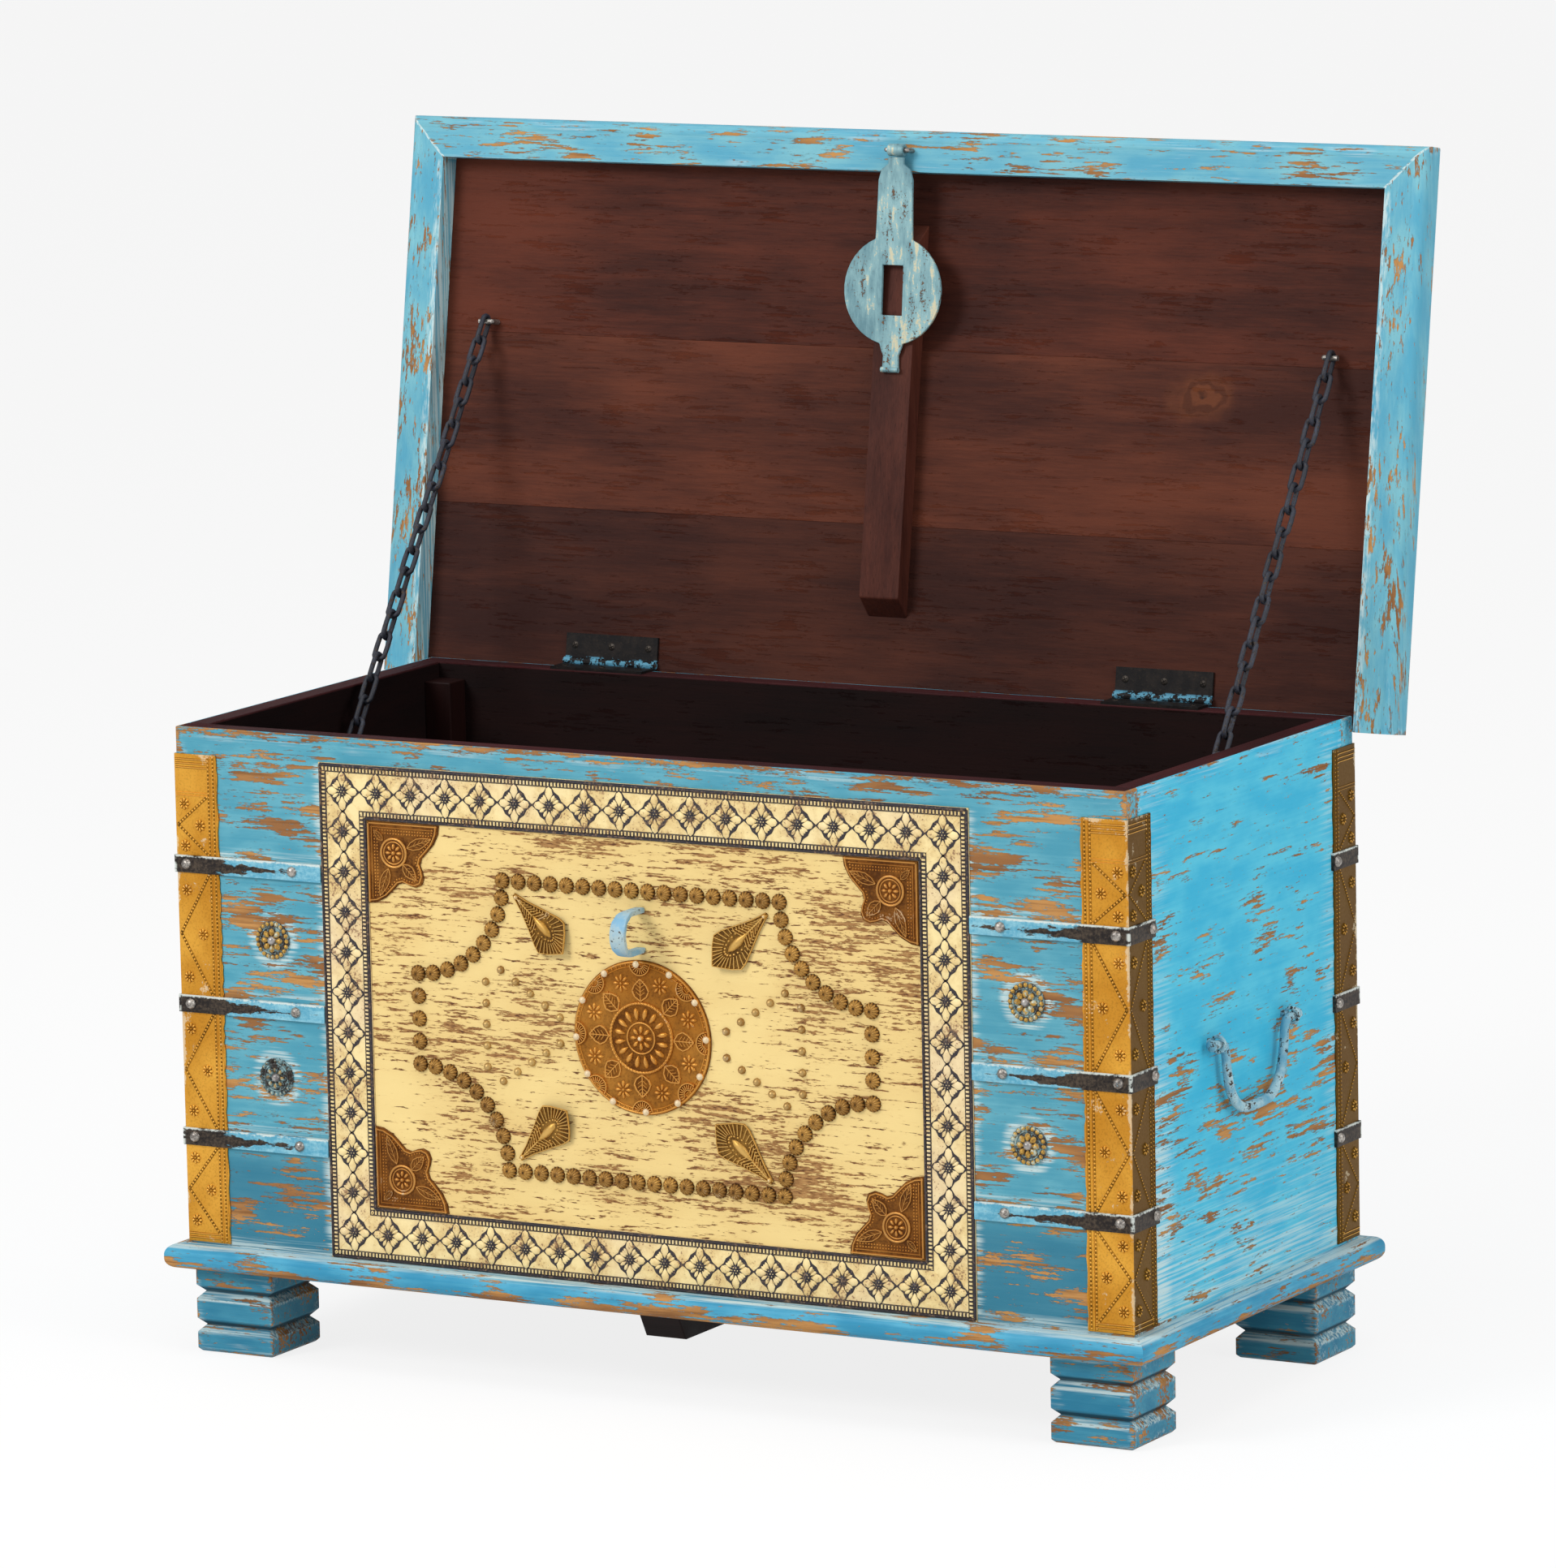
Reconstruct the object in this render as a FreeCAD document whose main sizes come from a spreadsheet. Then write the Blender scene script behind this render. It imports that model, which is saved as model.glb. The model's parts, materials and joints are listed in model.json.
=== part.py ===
# Painted wooden storage chest with a hinged cap lid, shown with the lid open.
# X runs along the front, +Y to the back, +Z up; the origin is on the floor under the middle of the case.
import FreeCAD, Part
import math
import os
from FreeCAD import Placement, Rotation, Vector

doc = FreeCAD.newDocument("StorageChest")
sheet = doc.addObject("Spreadsheet::Sheet", "Sizes")

# Driving dimensions in millimetres, angles in degrees, counts and shares as plain numbers
SIZES = {
    # case
    "case_width": 900.0,
    "case_depth": 416.0,
    "rim_height": 540.0,
    "wall": 21.0,
    "bottom_board_thickness": 18.0,
    "post_side": 26.0,
    "post_top_gap": 14.0,
    "batten_width": 38.0,
    "batten_height": 26.0,
    "batten_end_gap": 12.0,
    "batten_bevel": 14.0,
    # feet and base moulding
    "foot_height": 74.0,
    "foot_side": 76.0,
    "foot_inset": 2.0,
    "foot_ease": 3.0,
    "groove_depth": 6.0,
    "groove_half_height": 6.0,
    "upper_groove_height": 52.0,
    "lower_groove_height": 23.0,
    "moulding_height": 21.0,
    "moulding_reach": 17.0,
    "moulding_round": 9.0,
    # embossed border on the front
    "border_side_gap": 142.0,
    "border_top_gap": 22.0,
    "border_strip_width": 46.5,
    "sheet_metal_thickness": 1.2,
    "bead_height": 1.0,
    "bead_width": 3.0,
    # corner plaques, medallion, leaf plaques and rosettes
    "plaque_leg": 62.0,
    "plaque_notch": 17.0,
    "medallion_relief": 4.0,
    "leaf_length": 67.0,
    "leaf_width": 36.0,
    "leaf_curl_height": 5.0,
    "rosette_radius": 16.0,
    "rosette_relief": 5.0,
    # studs and nails of the front
    "stud_radius": 6.4,
    "stud_height": 5.0,
    "nail_radius": 3.6,
    "nail_height": 2.6,
    "row_studs": 18,
    "arc_studs": 8,
    "side_studs": 5,
    "arm_nails": 5,
    "column_nails": 5,
    # brass angle corners, iron straps and rivets
    "brass_leg": 42.0,
    "brass_top_gap": 23.0,
    "brass_bottom_gap": 2.0,
    "brass_sheet": 1.0,
    "strap_height": 15.0,
    "strap_thickness": 2.0,
    "strap_side_reach": 44.0,
    "rivet_radius": 4.6,
    "rivet_height": 3.4,
    "rivet_end_gap": 6.0,
    "rivet_border_gap": 28.0,
    "rivet_corner_gap": 9.0,
    # front staple for the hasp
    "staple_reach": 40.0,
    "staple_strip": 9.0,
    "staple_thickness": 4.5,
    # side handles
    "handle_half_width": 68.0,
    "handle_height": 311.0,
    "handle_drop": 62.0,
    "handle_rod_radius": 4.2,
    "handle_stand_off": 9.0,
    "handle_bend": 34.0,
    "handle_end_overhang": 9.0,
    "eye_wire": 3.0,
    "eye_clearance": 0.6,
    # lid
    "lid_lean_angle": 9.2,
    "lid_side_gap": 8.0,
    "lid_front_gap": 16.0,
    "rail_width": 36.0,
    "rail_thickness": 36.0,
    "rail_round": 11.0,
    "lid_panel_thickness": 14.0,
    "lid_rear_overhang": 18.0,
    "lid_boards": 3,
    "lid_batten_width": 38.0,
    "lid_batten_thickness": 18.0,
    "lid_batten_end_gap": 44.0,
    "lid_batten_bevel": 16.0,
    # butt hinges
    "hinge_length": 92.0,
    "hinge_centre_x": 270.0,
    "leaf_thickness": 2.2,
    "hinge_leaf_width": 20.5,
    "axis_above_rim": 3.9,
    "axis_behind_wall": 4.0,
    "knuckle_radius": 3.5,
    "pin_radius": 1.7,
    "pin_clearance": 0.05,
    "knuckle_count": 5,
    "knuckle_gap": 0.4,
    "screw_radius": 3.4,
    "screw_dome": 0.9,
    "screws_per_leaf": 3,
    # hasp and its wire staple
    "hasp_wire": 2.0,
    "hasp_clearance": 0.3,
    "hasp_stand_off": 9.0,
    "hasp_barrel_length": 15.0,
    "hasp_thickness": 3.0,
    "hasp_shank_width": 34.0,
    "hasp_disc_radius": 47.0,
    "hasp_slot_side_gap": 5.5,
    "hasp_slot_end_gap": 2.5,
    "hasp_tail_length": 68.0,
    "hasp_tail_width": 22.0,
    "hasp_tip_width": 15.0,
    "hasp_tip_curl": 6.0,
    "hasp_rest_gap": 0.4,
    "staple_leg_gap": 1.0,
    # chains and the hooks that hold them
    "chain_wall_gap": 17.0,
    "chain_lid_reach": 293.0,
    "chain_lid_stand_off": 10.0,
    "chain_rim_drop": 60.0,
    "hook_radius": 2.4,
    "hook_bar_length": 13.0,
    "link_wire_radius": 2.2,
    "link_inner_width": 6.2,
    "link_clearance": 0.25,
    "link_count": 21,
    # room between pieces of different bodies, and length by which cutters overrun
    "overrun": 5.0,
}

# Shares of the sizes that they follow
HASP_TAIL_WAIST_SHARE = 0.45
PLAQUE_LOBE_SHARE = 0.62
LEAF_SHOULDER_SHARE = 0.74
SCREW_ROOM_SHARE = 0.9
SKIRT_SHARE = 0.35
CROWN_SHARE = 0.55
MIDDLE_SHARE = 0.5

# Layout of the front's ornament, as shares of the cream field inside the border
FIELD_ASPECT_SHARE = 0.631
MEDALLION_SHARES = (0.397, 0.182, 0.0545)
LEAF_TIP_SHARE = 0.9135
STUD_WIDTH_SHARE = 0.824
STUD_HEIGHT_SHARE = 0.7424
STUD_CURVE_SHARE = 0.509
NAIL_OUT_SHARES = (0.367, 0.627, 0.696)
NAIL_RISE_SHARES = (0.09, 0.384, 0.294)
STAPLE_PLACE_SHARE = 0.435
STAPLE_RISE_SHARE = 0.667

# Places of the straps, as shares of the wall between base moulding and rim
STRAP_SHARES = (0.209, 0.467, 0.737)

# Numbers of facets on round pieces
WIRE_SIDES = 6
DOME_SIDES = 8
KNUCKLE_SIDES = 12
DISC_SIDES = 24
LINK_BOW_STEPS = 4
BEND_STEPS = 4
RIGHT_ANGLE = 90.0

for row, (alias, value) in enumerate(SIZES.items(), start=1):
    sheet.set("A%d" % row, alias)
    sheet.set("B%d" % row, repr(value))
    sheet.setAlias("B%d" % row, alias)
doc.recompute()


def size(alias):
    """Read one driving dimension from the sheet."""
    return float(sheet.get(alias))


def count(alias):
    """Read one driving count from the sheet."""
    return int(round(size(alias)))


subparts = []


def keep(obj, label):
    """Label an object and list it as a sub-part."""
    obj.Label = label
    subparts.append(obj)
    return obj


def bound_box(label, length, width, height, x, y, z):
    """Board with its sizes and its lowest corner bound to the sheet; texts are expressions."""
    obj = doc.addObject("Part::Box", label)
    for name, text in (("Length", length), ("Width", width), ("Height", height),
                       ("Placement.Base.x", x), ("Placement.Base.y", y), ("Placement.Base.z", z)):
        obj.setExpression(name, text)
    return obj


def piece(label, shape, placement=None):
    """Sub-part whose outline is worked out here from the sheet's sizes."""
    obj = doc.addObject("Part::Feature", label)
    obj.Shape = shape
    if placement is not None:
        obj.Placement = placement.multiply(obj.Placement)
    return keep(obj, label)


def face_of(points):
    """Flat face inside a closed run of points."""
    return Part.Face(Part.makePolygon(list(points) + [points[0]]))


def prism(points, direction):
    """Solid between an outline and its copy moved along direction."""
    return face_of(points).extrude(direction)


def ring_points(centre, across, up, radius, sides):
    """Corners of a regular outline round a centre, in the plane of two unit vectors."""
    angles = [2 * math.pi / sides * (i + MIDDLE_SHARE) for i in range(sides)]
    return [centre + (across * math.cos(angle) + up * math.sin(angle)) * radius for angle in angles]


def solid_of(faces):
    """Solid inside a closed set of flat faces."""
    shell = Part.makeShell(faces)
    shell.sewShape()
    solid = Part.makeSolid(shell)
    if solid.Volume < 0:
        solid.reverse()
    return solid


def skin(rings, loop, flat):
    """Faceted solid through rings of points; a loop has no ends, and flat means plane side faces."""
    faces = []
    pairs = list(zip(rings, rings[1:]))
    if loop:
        pairs.append((rings[-1], rings[0]))
    else:
        faces += [face_of(rings[0]), face_of(rings[-1])]
    for ring, following in pairs:
        for j in range(len(ring)):
            k = (j + 1) % len(ring)
            if flat:
                faces.append(face_of([ring[j], ring[k], following[k], following[j]]))
            else:
                faces.append(face_of([ring[j], ring[k], following[k]]))
                faces.append(face_of([ring[j], following[k], following[j]]))
    return solid_of(faces)


def dome(base, normal, profile, sides):
    """Faceted round head on a base point; profile lists its radius and height from the base up."""
    across = Vector(1, 0, 0) if abs(normal.x) < abs(normal.y) + abs(normal.z) else Vector(0, 1, 0)
    up = normal.cross(across)
    return skin([ring_points(base + normal * lift, across, up, radius, sides) for radius, lift in profile],
                False, True)


def head(radius, height):
    """Profile of a stud, boss or screw head: a skirt under a narrower crown."""
    return [(radius, 0.0), (radius, height * SKIRT_SHARE), (radius * CROWN_SHARE, height)]


def nail_profile(radius, height):
    """Profile of a nail or rivet head: a plain taper."""
    return [(radius, 0.0), (radius * CROWN_SHARE, height)]


def round_bar(start, direction, length, across, up, radius, sides):
    """Faceted bar or bore along a direction; the radius is that of its corners."""
    return prism(ring_points(start, across, up, radius, sides), direction * length)


def over_flats(radius, sides):
    """Corner radius of a regular outline whose flats touch a circle."""
    return radius / math.cos(math.pi / sides)


def bent_rod(points, normal, radius, sides, loop=False):
    """Rod of even thickness along a run of points in one plane, mitred where it turns."""
    flat_radius = over_flats(radius, sides)
    rings = []
    for i, point in enumerate(points):
        before = points[i - 1] if i > 0 or loop else None
        after = points[(i + 1) % len(points)] if i + 1 < len(points) or loop else None
        ways = [(point - before).normalize()] if before is not None else []
        ways += [(after - point).normalize()] if after is not None else []
        along = Vector(0, 0, 0)
        for way in ways:
            along = along + way
        along.normalize()
        stretch = 1 / along.dot(ways[0])
        out = along.cross(normal)
        rings.append(ring_points(point, out * stretch, normal, flat_radius, sides))
    return skin(rings, loop, False)


def mirrored_x(shape):
    """Copy on the other side of the middle plane."""
    return shape.mirror(Vector(0, 0, 0), Vector(1, 0, 0))


def mirrored_y(shape):
    """Copy on the other side of the plane between front and back."""
    return shape.mirror(Vector(0, 0, 0), Vector(0, 1, 0))


# Values that several pieces share
half_width = size("case_width") / 2
half_depth = size("case_depth") / 2
rim = size("rim_height")
wall = size("wall")
case_bottom = size("foot_height")
moulding_top = case_bottom + size("moulding_height")
front = -half_depth
x_axis = Vector(1, 0, 0)
y_axis = Vector(0, 1, 0)
z_axis = Vector(0, 0, 1)
overrun = size("overrun")

# Case boards: front and back run the full width, the sides stand between them
keep(bound_box("front_board", "Sizes.case_width", "Sizes.wall", "Sizes.rim_height - Sizes.foot_height",
               "-Sizes.case_width / 2", "-Sizes.case_depth / 2", "Sizes.foot_height"), "front_board")
keep(bound_box("back_board", "Sizes.case_width", "Sizes.wall", "Sizes.rim_height - Sizes.foot_height",
               "-Sizes.case_width / 2", "Sizes.case_depth / 2 - Sizes.wall",
               "Sizes.foot_height"), "back_board")
for side, x in (("left", "-Sizes.case_width / 2"), ("right", "Sizes.case_width / 2 - Sizes.wall")):
    keep(bound_box(side + "_side_board", "Sizes.wall", "Sizes.case_depth - 2 * Sizes.wall",
                   "Sizes.rim_height - Sizes.foot_height", x, "Sizes.wall - Sizes.case_depth / 2",
                   "Sizes.foot_height"), side + "_side_board")
keep(bound_box("bottom_board", "Sizes.case_width - 2 * Sizes.wall", "Sizes.case_depth - 2 * Sizes.wall",
               "Sizes.bottom_board_thickness", "Sizes.wall - Sizes.case_width / 2",
               "Sizes.wall - Sizes.case_depth / 2", "Sizes.foot_height"), "bottom_board")

# Corner posts inside the case, one in each corner, on the bottom board
post_floor = case_bottom + size("bottom_board_thickness")
post_rise = rim - size("post_top_gap") - post_floor
post = Part.makeBox(size("post_side"), size("post_side"), post_rise,
                    Vector(wall - half_width, wall - half_depth, post_floor))
left_posts = [post, mirrored_y(post)]
piece("inner_corner_posts", Part.makeCompound(left_posts + [mirrored_x(p) for p in left_posts]))

# Batten under the bottom board, with bevelled ends
batten_half = half_depth - size("batten_end_gap")
batten_low = case_bottom - size("batten_height")
batten_flat = batten_half - size("batten_bevel")
batten_outline = [Vector(-size("batten_width") / 2, -batten_half, case_bottom),
                  Vector(-size("batten_width") / 2, -batten_flat, batten_low),
                  Vector(-size("batten_width") / 2, batten_flat, batten_low),
                  Vector(-size("batten_width") / 2, batten_half, case_bottom)]
piece("bottom_batten", prism(batten_outline, x_axis * size("batten_width")))


# Feet: square blocks with two V grooves round them
def foot_profile(across):
    """Grooved outline of a foot in the plane of one level direction and the height."""
    half = size("foot_side") / 2
    depth = size("groove_depth")
    rise = size("groove_half_height")
    ease = size("foot_ease")
    edge = [(half - ease, 0.0), (half, ease)]
    for height in (size("lower_groove_height"), size("upper_groove_height")):
        edge += [(half, height - rise), (half - depth, height), (half, height + rise)]
    edge += [(half, size("foot_height"))]
    points = [across * out + z_axis * height for out, height in edge]
    return points + [across * -out + z_axis * height for out, height in reversed(edge)]


foot_length = size("foot_side") + 2 * overrun
along_x = prism([p - y_axis * (foot_length / 2) for p in foot_profile(x_axis)], y_axis * foot_length)
along_y = prism([p - x_axis * (foot_length / 2) for p in foot_profile(y_axis)], x_axis * foot_length)
foot = along_x.common(along_y).Solids[0]
foot_x = half_width - size("foot_inset") - size("foot_side") / 2
foot_y = half_depth - size("foot_inset") - size("foot_side") / 2
for depth_name, y in (("front", -foot_y), ("back", foot_y)):
    for side, x in (("left", -foot_x), ("right", foot_x)):
        piece("%s_%s_foot" % (depth_name, side), foot.copy(), Placement(Vector(x, y, 0), Rotation()))


def mitred_bar(outline, height, rounding, outer):
    """Bar with mitred ends from its plan outline, its two outer edges rounded.

    outer tells whether a point lies on the bar's outer side.
    """
    bar = prism(outline, z_axis * height)
    edges = []
    for edge in bar.Edges:
        ends = [v.Point for v in edge.Vertexes]
        level = abs(ends[0].z - ends[1].z) < overrun / 100
        if level and outer(ends[0]) and outer(ends[1]):
            edges.append(edge)
    return bar.makeFillet(rounding, edges)


# Base moulding: four mitred lengths with a rounded nose round the foot of the case
reach = size("moulding_reach")
near = overrun / 100
corner = Vector(half_width, half_depth, case_bottom)
nose = Vector(half_width + reach, half_depth + reach, case_bottom)
back_bar = mitred_bar([Vector(-corner.x, corner.y, corner.z), corner, nose, Vector(-nose.x, nose.y, nose.z)],
                      size("moulding_height"), size("moulding_round"), lambda p: p.y > nose.y - near)
right_bar = mitred_bar([Vector(corner.x, -corner.y, corner.z), Vector(nose.x, -nose.y, nose.z), nose, corner],
                       size("moulding_height"), size("moulding_round"), lambda p: p.x > nose.x - near)
piece("back_base_moulding", back_bar)
piece("front_base_moulding", mirrored_y(back_bar))
piece("right_base_moulding", right_bar)
piece("left_base_moulding", mirrored_x(right_bar))

# Embossed border of four mitred metal strips round the painted field of the front
sheet_metal = size("sheet_metal_thickness")
strip = size("border_strip_width")
border_top = rim - size("border_top_gap")
outer_x = half_width - size("border_side_gap")
inner_x = outer_x - strip
inner_top = border_top - strip
inner_bottom = moulding_top + strip
centre_height = (inner_top + inner_bottom) / 2
field_rise = (inner_top - inner_bottom) / 2
field = min(inner_x * FIELD_ASPECT_SHARE, field_rise)


def on_front(x, z, lift=0.0):
    """Point of the front face, raised off it by lift."""
    return Vector(x, front - lift, z)


def raised_strip(corners, bead_runs):
    """Flat strip with a raised bead along each of its long edges."""
    plate = prism(corners, y_axis * -sheet_metal)
    for start, end, inward in bead_runs:
        run = [start, end, end + inward * size("bead_width"), start + inward * size("bead_width")]
        lifted = [p - y_axis * sheet_metal for p in run]
        plate = plate.fuse(prism(lifted, y_axis * -size("bead_height")))
    return plate.removeSplitter()


bead = size("bead_width")
top_strip = raised_strip(
    [on_front(-outer_x, border_top), on_front(outer_x, border_top),
     on_front(inner_x, inner_top), on_front(-inner_x, inner_top)],
    [(on_front(bead - outer_x, border_top), on_front(outer_x - bead, border_top), z_axis * -1),
     (on_front(-inner_x, inner_top), on_front(inner_x, inner_top), z_axis)])
bottom_strip = raised_strip(
    [on_front(-outer_x, moulding_top), on_front(outer_x, moulding_top),
     on_front(inner_x, inner_bottom), on_front(-inner_x, inner_bottom)],
    [(on_front(bead - outer_x, moulding_top), on_front(outer_x - bead, moulding_top), z_axis),
     (on_front(-inner_x, inner_bottom), on_front(inner_x, inner_bottom), z_axis * -1)])
right_strip = raised_strip(
    [on_front(outer_x, moulding_top), on_front(outer_x, border_top),
     on_front(inner_x, inner_top), on_front(inner_x, inner_bottom)],
    [(on_front(outer_x, moulding_top + bead), on_front(outer_x, border_top - bead), x_axis * -1),
     (on_front(inner_x, inner_bottom), on_front(inner_x, inner_top), x_axis)])
piece("top_border_strip", top_strip)
piece("bottom_border_strip", bottom_strip)
piece("right_border_strip", right_strip)
piece("left_border_strip", mirrored_x(right_strip))


# Brass plaques in the inner corners of the border, with a lobed long side
def corner_plaque():
    leg = size("plaque_leg")
    notch = size("plaque_notch")
    lobe = leg * PLAQUE_LOBE_SHARE
    corner_point = on_front(inner_x, inner_top)
    tip_a = on_front(inner_x - leg, inner_top)
    tip_b = on_front(inner_x, inner_top - leg)
    step_a = on_front(inner_x - leg, inner_top - notch)
    step_b = on_front(inner_x - notch, inner_top - leg)
    belly = on_front(inner_x - lobe, inner_top - lobe)
    lobed = Part.Arc(step_a, belly, step_b).toShape()
    straight = Part.makePolygon([step_b, tip_b, corner_point, tip_a, step_a])
    outline = Part.Wire([lobed] + straight.Edges)
    return Part.Face(outline).extrude(y_axis * -sheet_metal)


def mirrored_front(shape):
    """Copy above or below the middle of the front's ornament field."""
    return shape.mirror(Vector(0, 0, centre_height), z_axis)


plaque = corner_plaque()
right_plaques = [plaque, mirrored_front(plaque)]
piece("corner_plaques", Part.makeCompound(right_plaques + [mirrored_x(p) for p in right_plaques]))

# Medallion: pressed brass disc with a raised ring and a centre boss
medallion_radius, ring_radius, boss_radius = [field * share for share in MEDALLION_SHARES]
medallion_profile = [(medallion_radius, 0.0), (medallion_radius, sheet_metal),
                     (ring_radius, size("medallion_relief")),
                     (boss_radius, sheet_metal + size("bead_height")),
                     (boss_radius * CROWN_SHARE, size("medallion_relief") + sheet_metal)]
piece("medallion", dome(on_front(0, centre_height), y_axis * -1, medallion_profile, DISC_SIDES))


# Four leaf plaques: narrow ends at the corners of the studded outline, broad ends curled off the board
def leaf_plaque(length, half):
    """Leaf from its narrow end along the first axis."""
    curl = size("leaf_curl_height")
    shoulder = length * LEAF_SHOULDER_SHARE
    root = Vector(0, 0, 0)
    tip = Vector(length, 0, curl)
    upper = Vector(shoulder, half, 0)
    lower = Vector(shoulder, -half, 0)
    ridge = Vector(shoulder, 0, 2 * sheet_metal)
    rise = Vector(0, 0, sheet_metal)
    facets = ((root, lower, ridge), (root, ridge, upper), (lower, tip, ridge), (ridge, tip, upper))
    top = [face_of([point + rise for point in points]) for points in facets]
    rim_run = [root, lower, tip, upper]
    sides = [face_of([start, end, end + rise, start + rise])
             for start, end in zip(rim_run, rim_run[1:] + rim_run[:1])]
    back = [face_of([root, lower, upper]), face_of([lower, tip, upper])]
    return solid_of(top + sides + back)


stud_x = inner_x * STUD_WIDTH_SHARE
stud_z = field_rise * STUD_HEIGHT_SHARE
stud_curve = field * STUD_CURVE_SHARE
leaf = leaf_plaque(size("leaf_length"), size("leaf_width") / 2)
leaf_x = (stud_x - stud_curve) * LEAF_TIP_SHARE
leaf_rise = stud_z * LEAF_TIP_SHARE
inwards = math.degrees(math.atan2(-leaf_rise, -leaf_x))
turn = Rotation(x_axis, RIGHT_ANGLE).multiply(Rotation(z_axis, inwards))
leaf.Placement = Placement(on_front(leaf_x, centre_height + leaf_rise), turn)
right_leaves = [leaf, mirrored_front(leaf)]
piece("leaf_plaques", Part.makeCompound(right_leaves + [mirrored_x(p) for p in right_leaves]))

# Rosette bosses between the border and the brass corners, half way between the straps
strap_heights = [moulding_top + (rim - moulding_top) * share for share in STRAP_SHARES]
rosette_x = (outer_x + half_width - size("brass_leg")) / 2
rosettes = []
rosette_head = head(size("rosette_radius"), size("rosette_relief"))
for lower, upper in zip(strap_heights, strap_heights[1:]):
    for x in (-rosette_x, rosette_x):
        rosettes.append(dome(on_front(x, (lower + upper) / 2), y_axis * -1, rosette_head, KNUCKLE_SIDES))
piece("rosette_bosses", Part.makeCompound(rosettes))


def spread(start, end, number):
    """Evenly spaced values with both ends."""
    return [start + (end - start) * i / (number - 1) for i in range(number)]


# Large studs along a rectangle whose corners are hollowed by quarter circles
stud_places = []
for x in spread(stud_curve - stud_x, stud_x - stud_curve, count("row_studs")):
    stud_places += [(x, stud_z), (x, -stud_z)]
for z in spread(stud_curve - stud_z, stud_z - stud_curve, count("side_studs")):
    stud_places += [(stud_x, z), (-stud_x, z)]
arc_step = math.pi / 2 / (count("arc_studs") + 1)
for i in range(1, count("arc_studs") + 1):
    x = stud_x - stud_curve * math.cos(arc_step * i)
    z = stud_z - stud_curve * math.sin(arc_step * i)
    stud_places += [(x, z), (-x, z), (x, -z), (-x, -z)]
stud_head = head(size("stud_radius"), size("stud_height"))
studs = [dome(on_front(x, centre_height + z), y_axis * -1, stud_head, WIRE_SIDES) for x, z in stud_places]
piece("boss_studs", Part.makeCompound(studs))

# Small nails in two V shapes that point at the medallion, each closed by a column
tip_out, arm_out, column_out = [stud_x * share for share in NAIL_OUT_SHARES]
tip_rise, arm_rise, column_rise = [stud_z * share for share in NAIL_RISE_SHARES]
nail_places = []
for x, z in zip(spread(tip_out, arm_out, count("arm_nails")), spread(tip_rise, arm_rise, count("arm_nails"))):
    nail_places += [(x, z), (x, -z), (-x, z), (-x, -z)]
for z in spread(-column_rise, column_rise, count("column_nails")):
    nail_places += [(column_out, z), (-column_out, z)]
nail_head = nail_profile(size("nail_radius"), size("nail_height"))
nails = [dome(on_front(x, centre_height + z), y_axis * -1, nail_head, WIRE_SIDES) for x, z in nail_places]
piece("small_nails", Part.makeCompound(nails))

# Brass angle corners over the four upright edges
brass_low = moulding_top + size("brass_bottom_gap")
brass_rise = rim - size("brass_top_gap") - brass_low
brass = size("brass_sheet")
leg = size("brass_leg")
brass_plan = [Vector(half_width, front + leg, brass_low), Vector(half_width + brass, front + leg, brass_low),
              Vector(half_width + brass, front - brass, brass_low),
              Vector(half_width - leg, front - brass, brass_low),
              Vector(half_width - leg, front, brass_low), Vector(half_width, front, brass_low)]
brass_corner = prism(brass_plan, z_axis * brass_rise)
piece("front_right_brass_corner", brass_corner)
piece("front_left_brass_corner", mirrored_x(brass_corner))
piece("back_right_brass_corner", mirrored_y(brass_corner))
piece("back_left_brass_corner", mirrored_x(mirrored_y(brass_corner)))

# Iron straps at three heights: from the border round the corner, lying on the board and over the brass
strap_out = brass + size("strap_thickness")
strap_side = size("strap_side_reach")
strap_height = size("strap_height")


def strap_corner(inner_end):
    """Three straps round the front right edge; inner_end is where they start on the face."""
    plan_run = [Vector(half_width, front + strap_side, 0),
                Vector(half_width + strap_out, front + strap_side, 0),
                Vector(half_width + strap_out, front - strap_out, 0), Vector(inner_end, front - strap_out, 0),
                Vector(inner_end, front, 0), Vector(half_width - leg, front, 0),
                Vector(half_width - leg, front - brass, 0), Vector(half_width + brass, front - brass, 0),
                Vector(half_width + brass, front + leg, 0), Vector(half_width, front + leg, 0)]
    bar = prism(plan_run, z_axis * strap_height)
    return [bar.translated(z_axis * (height - strap_height / 2)) for height in strap_heights]


front_straps = strap_corner(outer_x)
back_straps = [mirrored_y(s) for s in strap_corner(half_width - strap_side)]
piece("front_right_straps", Part.makeCompound(front_straps))
piece("front_left_straps", Part.makeCompound([mirrored_x(s) for s in front_straps]))
piece("back_right_straps", Part.makeCompound(back_straps))
piece("back_left_straps", Part.makeCompound([mirrored_x(s) for s in back_straps]))

# Dome rivets on the straps
rivet_head = nail_profile(size("rivet_radius"), size("rivet_height"))
right_rivets = []
for height in strap_heights:
    for x in (outer_x + size("rivet_border_gap"), half_width - size("rivet_corner_gap")):
        right_rivets.append(dome(on_front(x, height, strap_out), y_axis * -1, rivet_head, WIRE_SIDES))
    side_rivet = dome(Vector(half_width + strap_out, front + strap_side - size("rivet_end_gap"), height),
                      x_axis, rivet_head, WIRE_SIDES)
    back_x = half_width - strap_side + size("rivet_end_gap")
    back_rivet = dome(Vector(back_x, half_depth + strap_out, height), y_axis, rivet_head, WIRE_SIDES)
    right_rivets += [side_rivet, mirrored_y(side_rivet), back_rivet]
piece("strap_rivets", Part.makeCompound(right_rivets + [mirrored_x(r) for r in right_rivets]))


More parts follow.
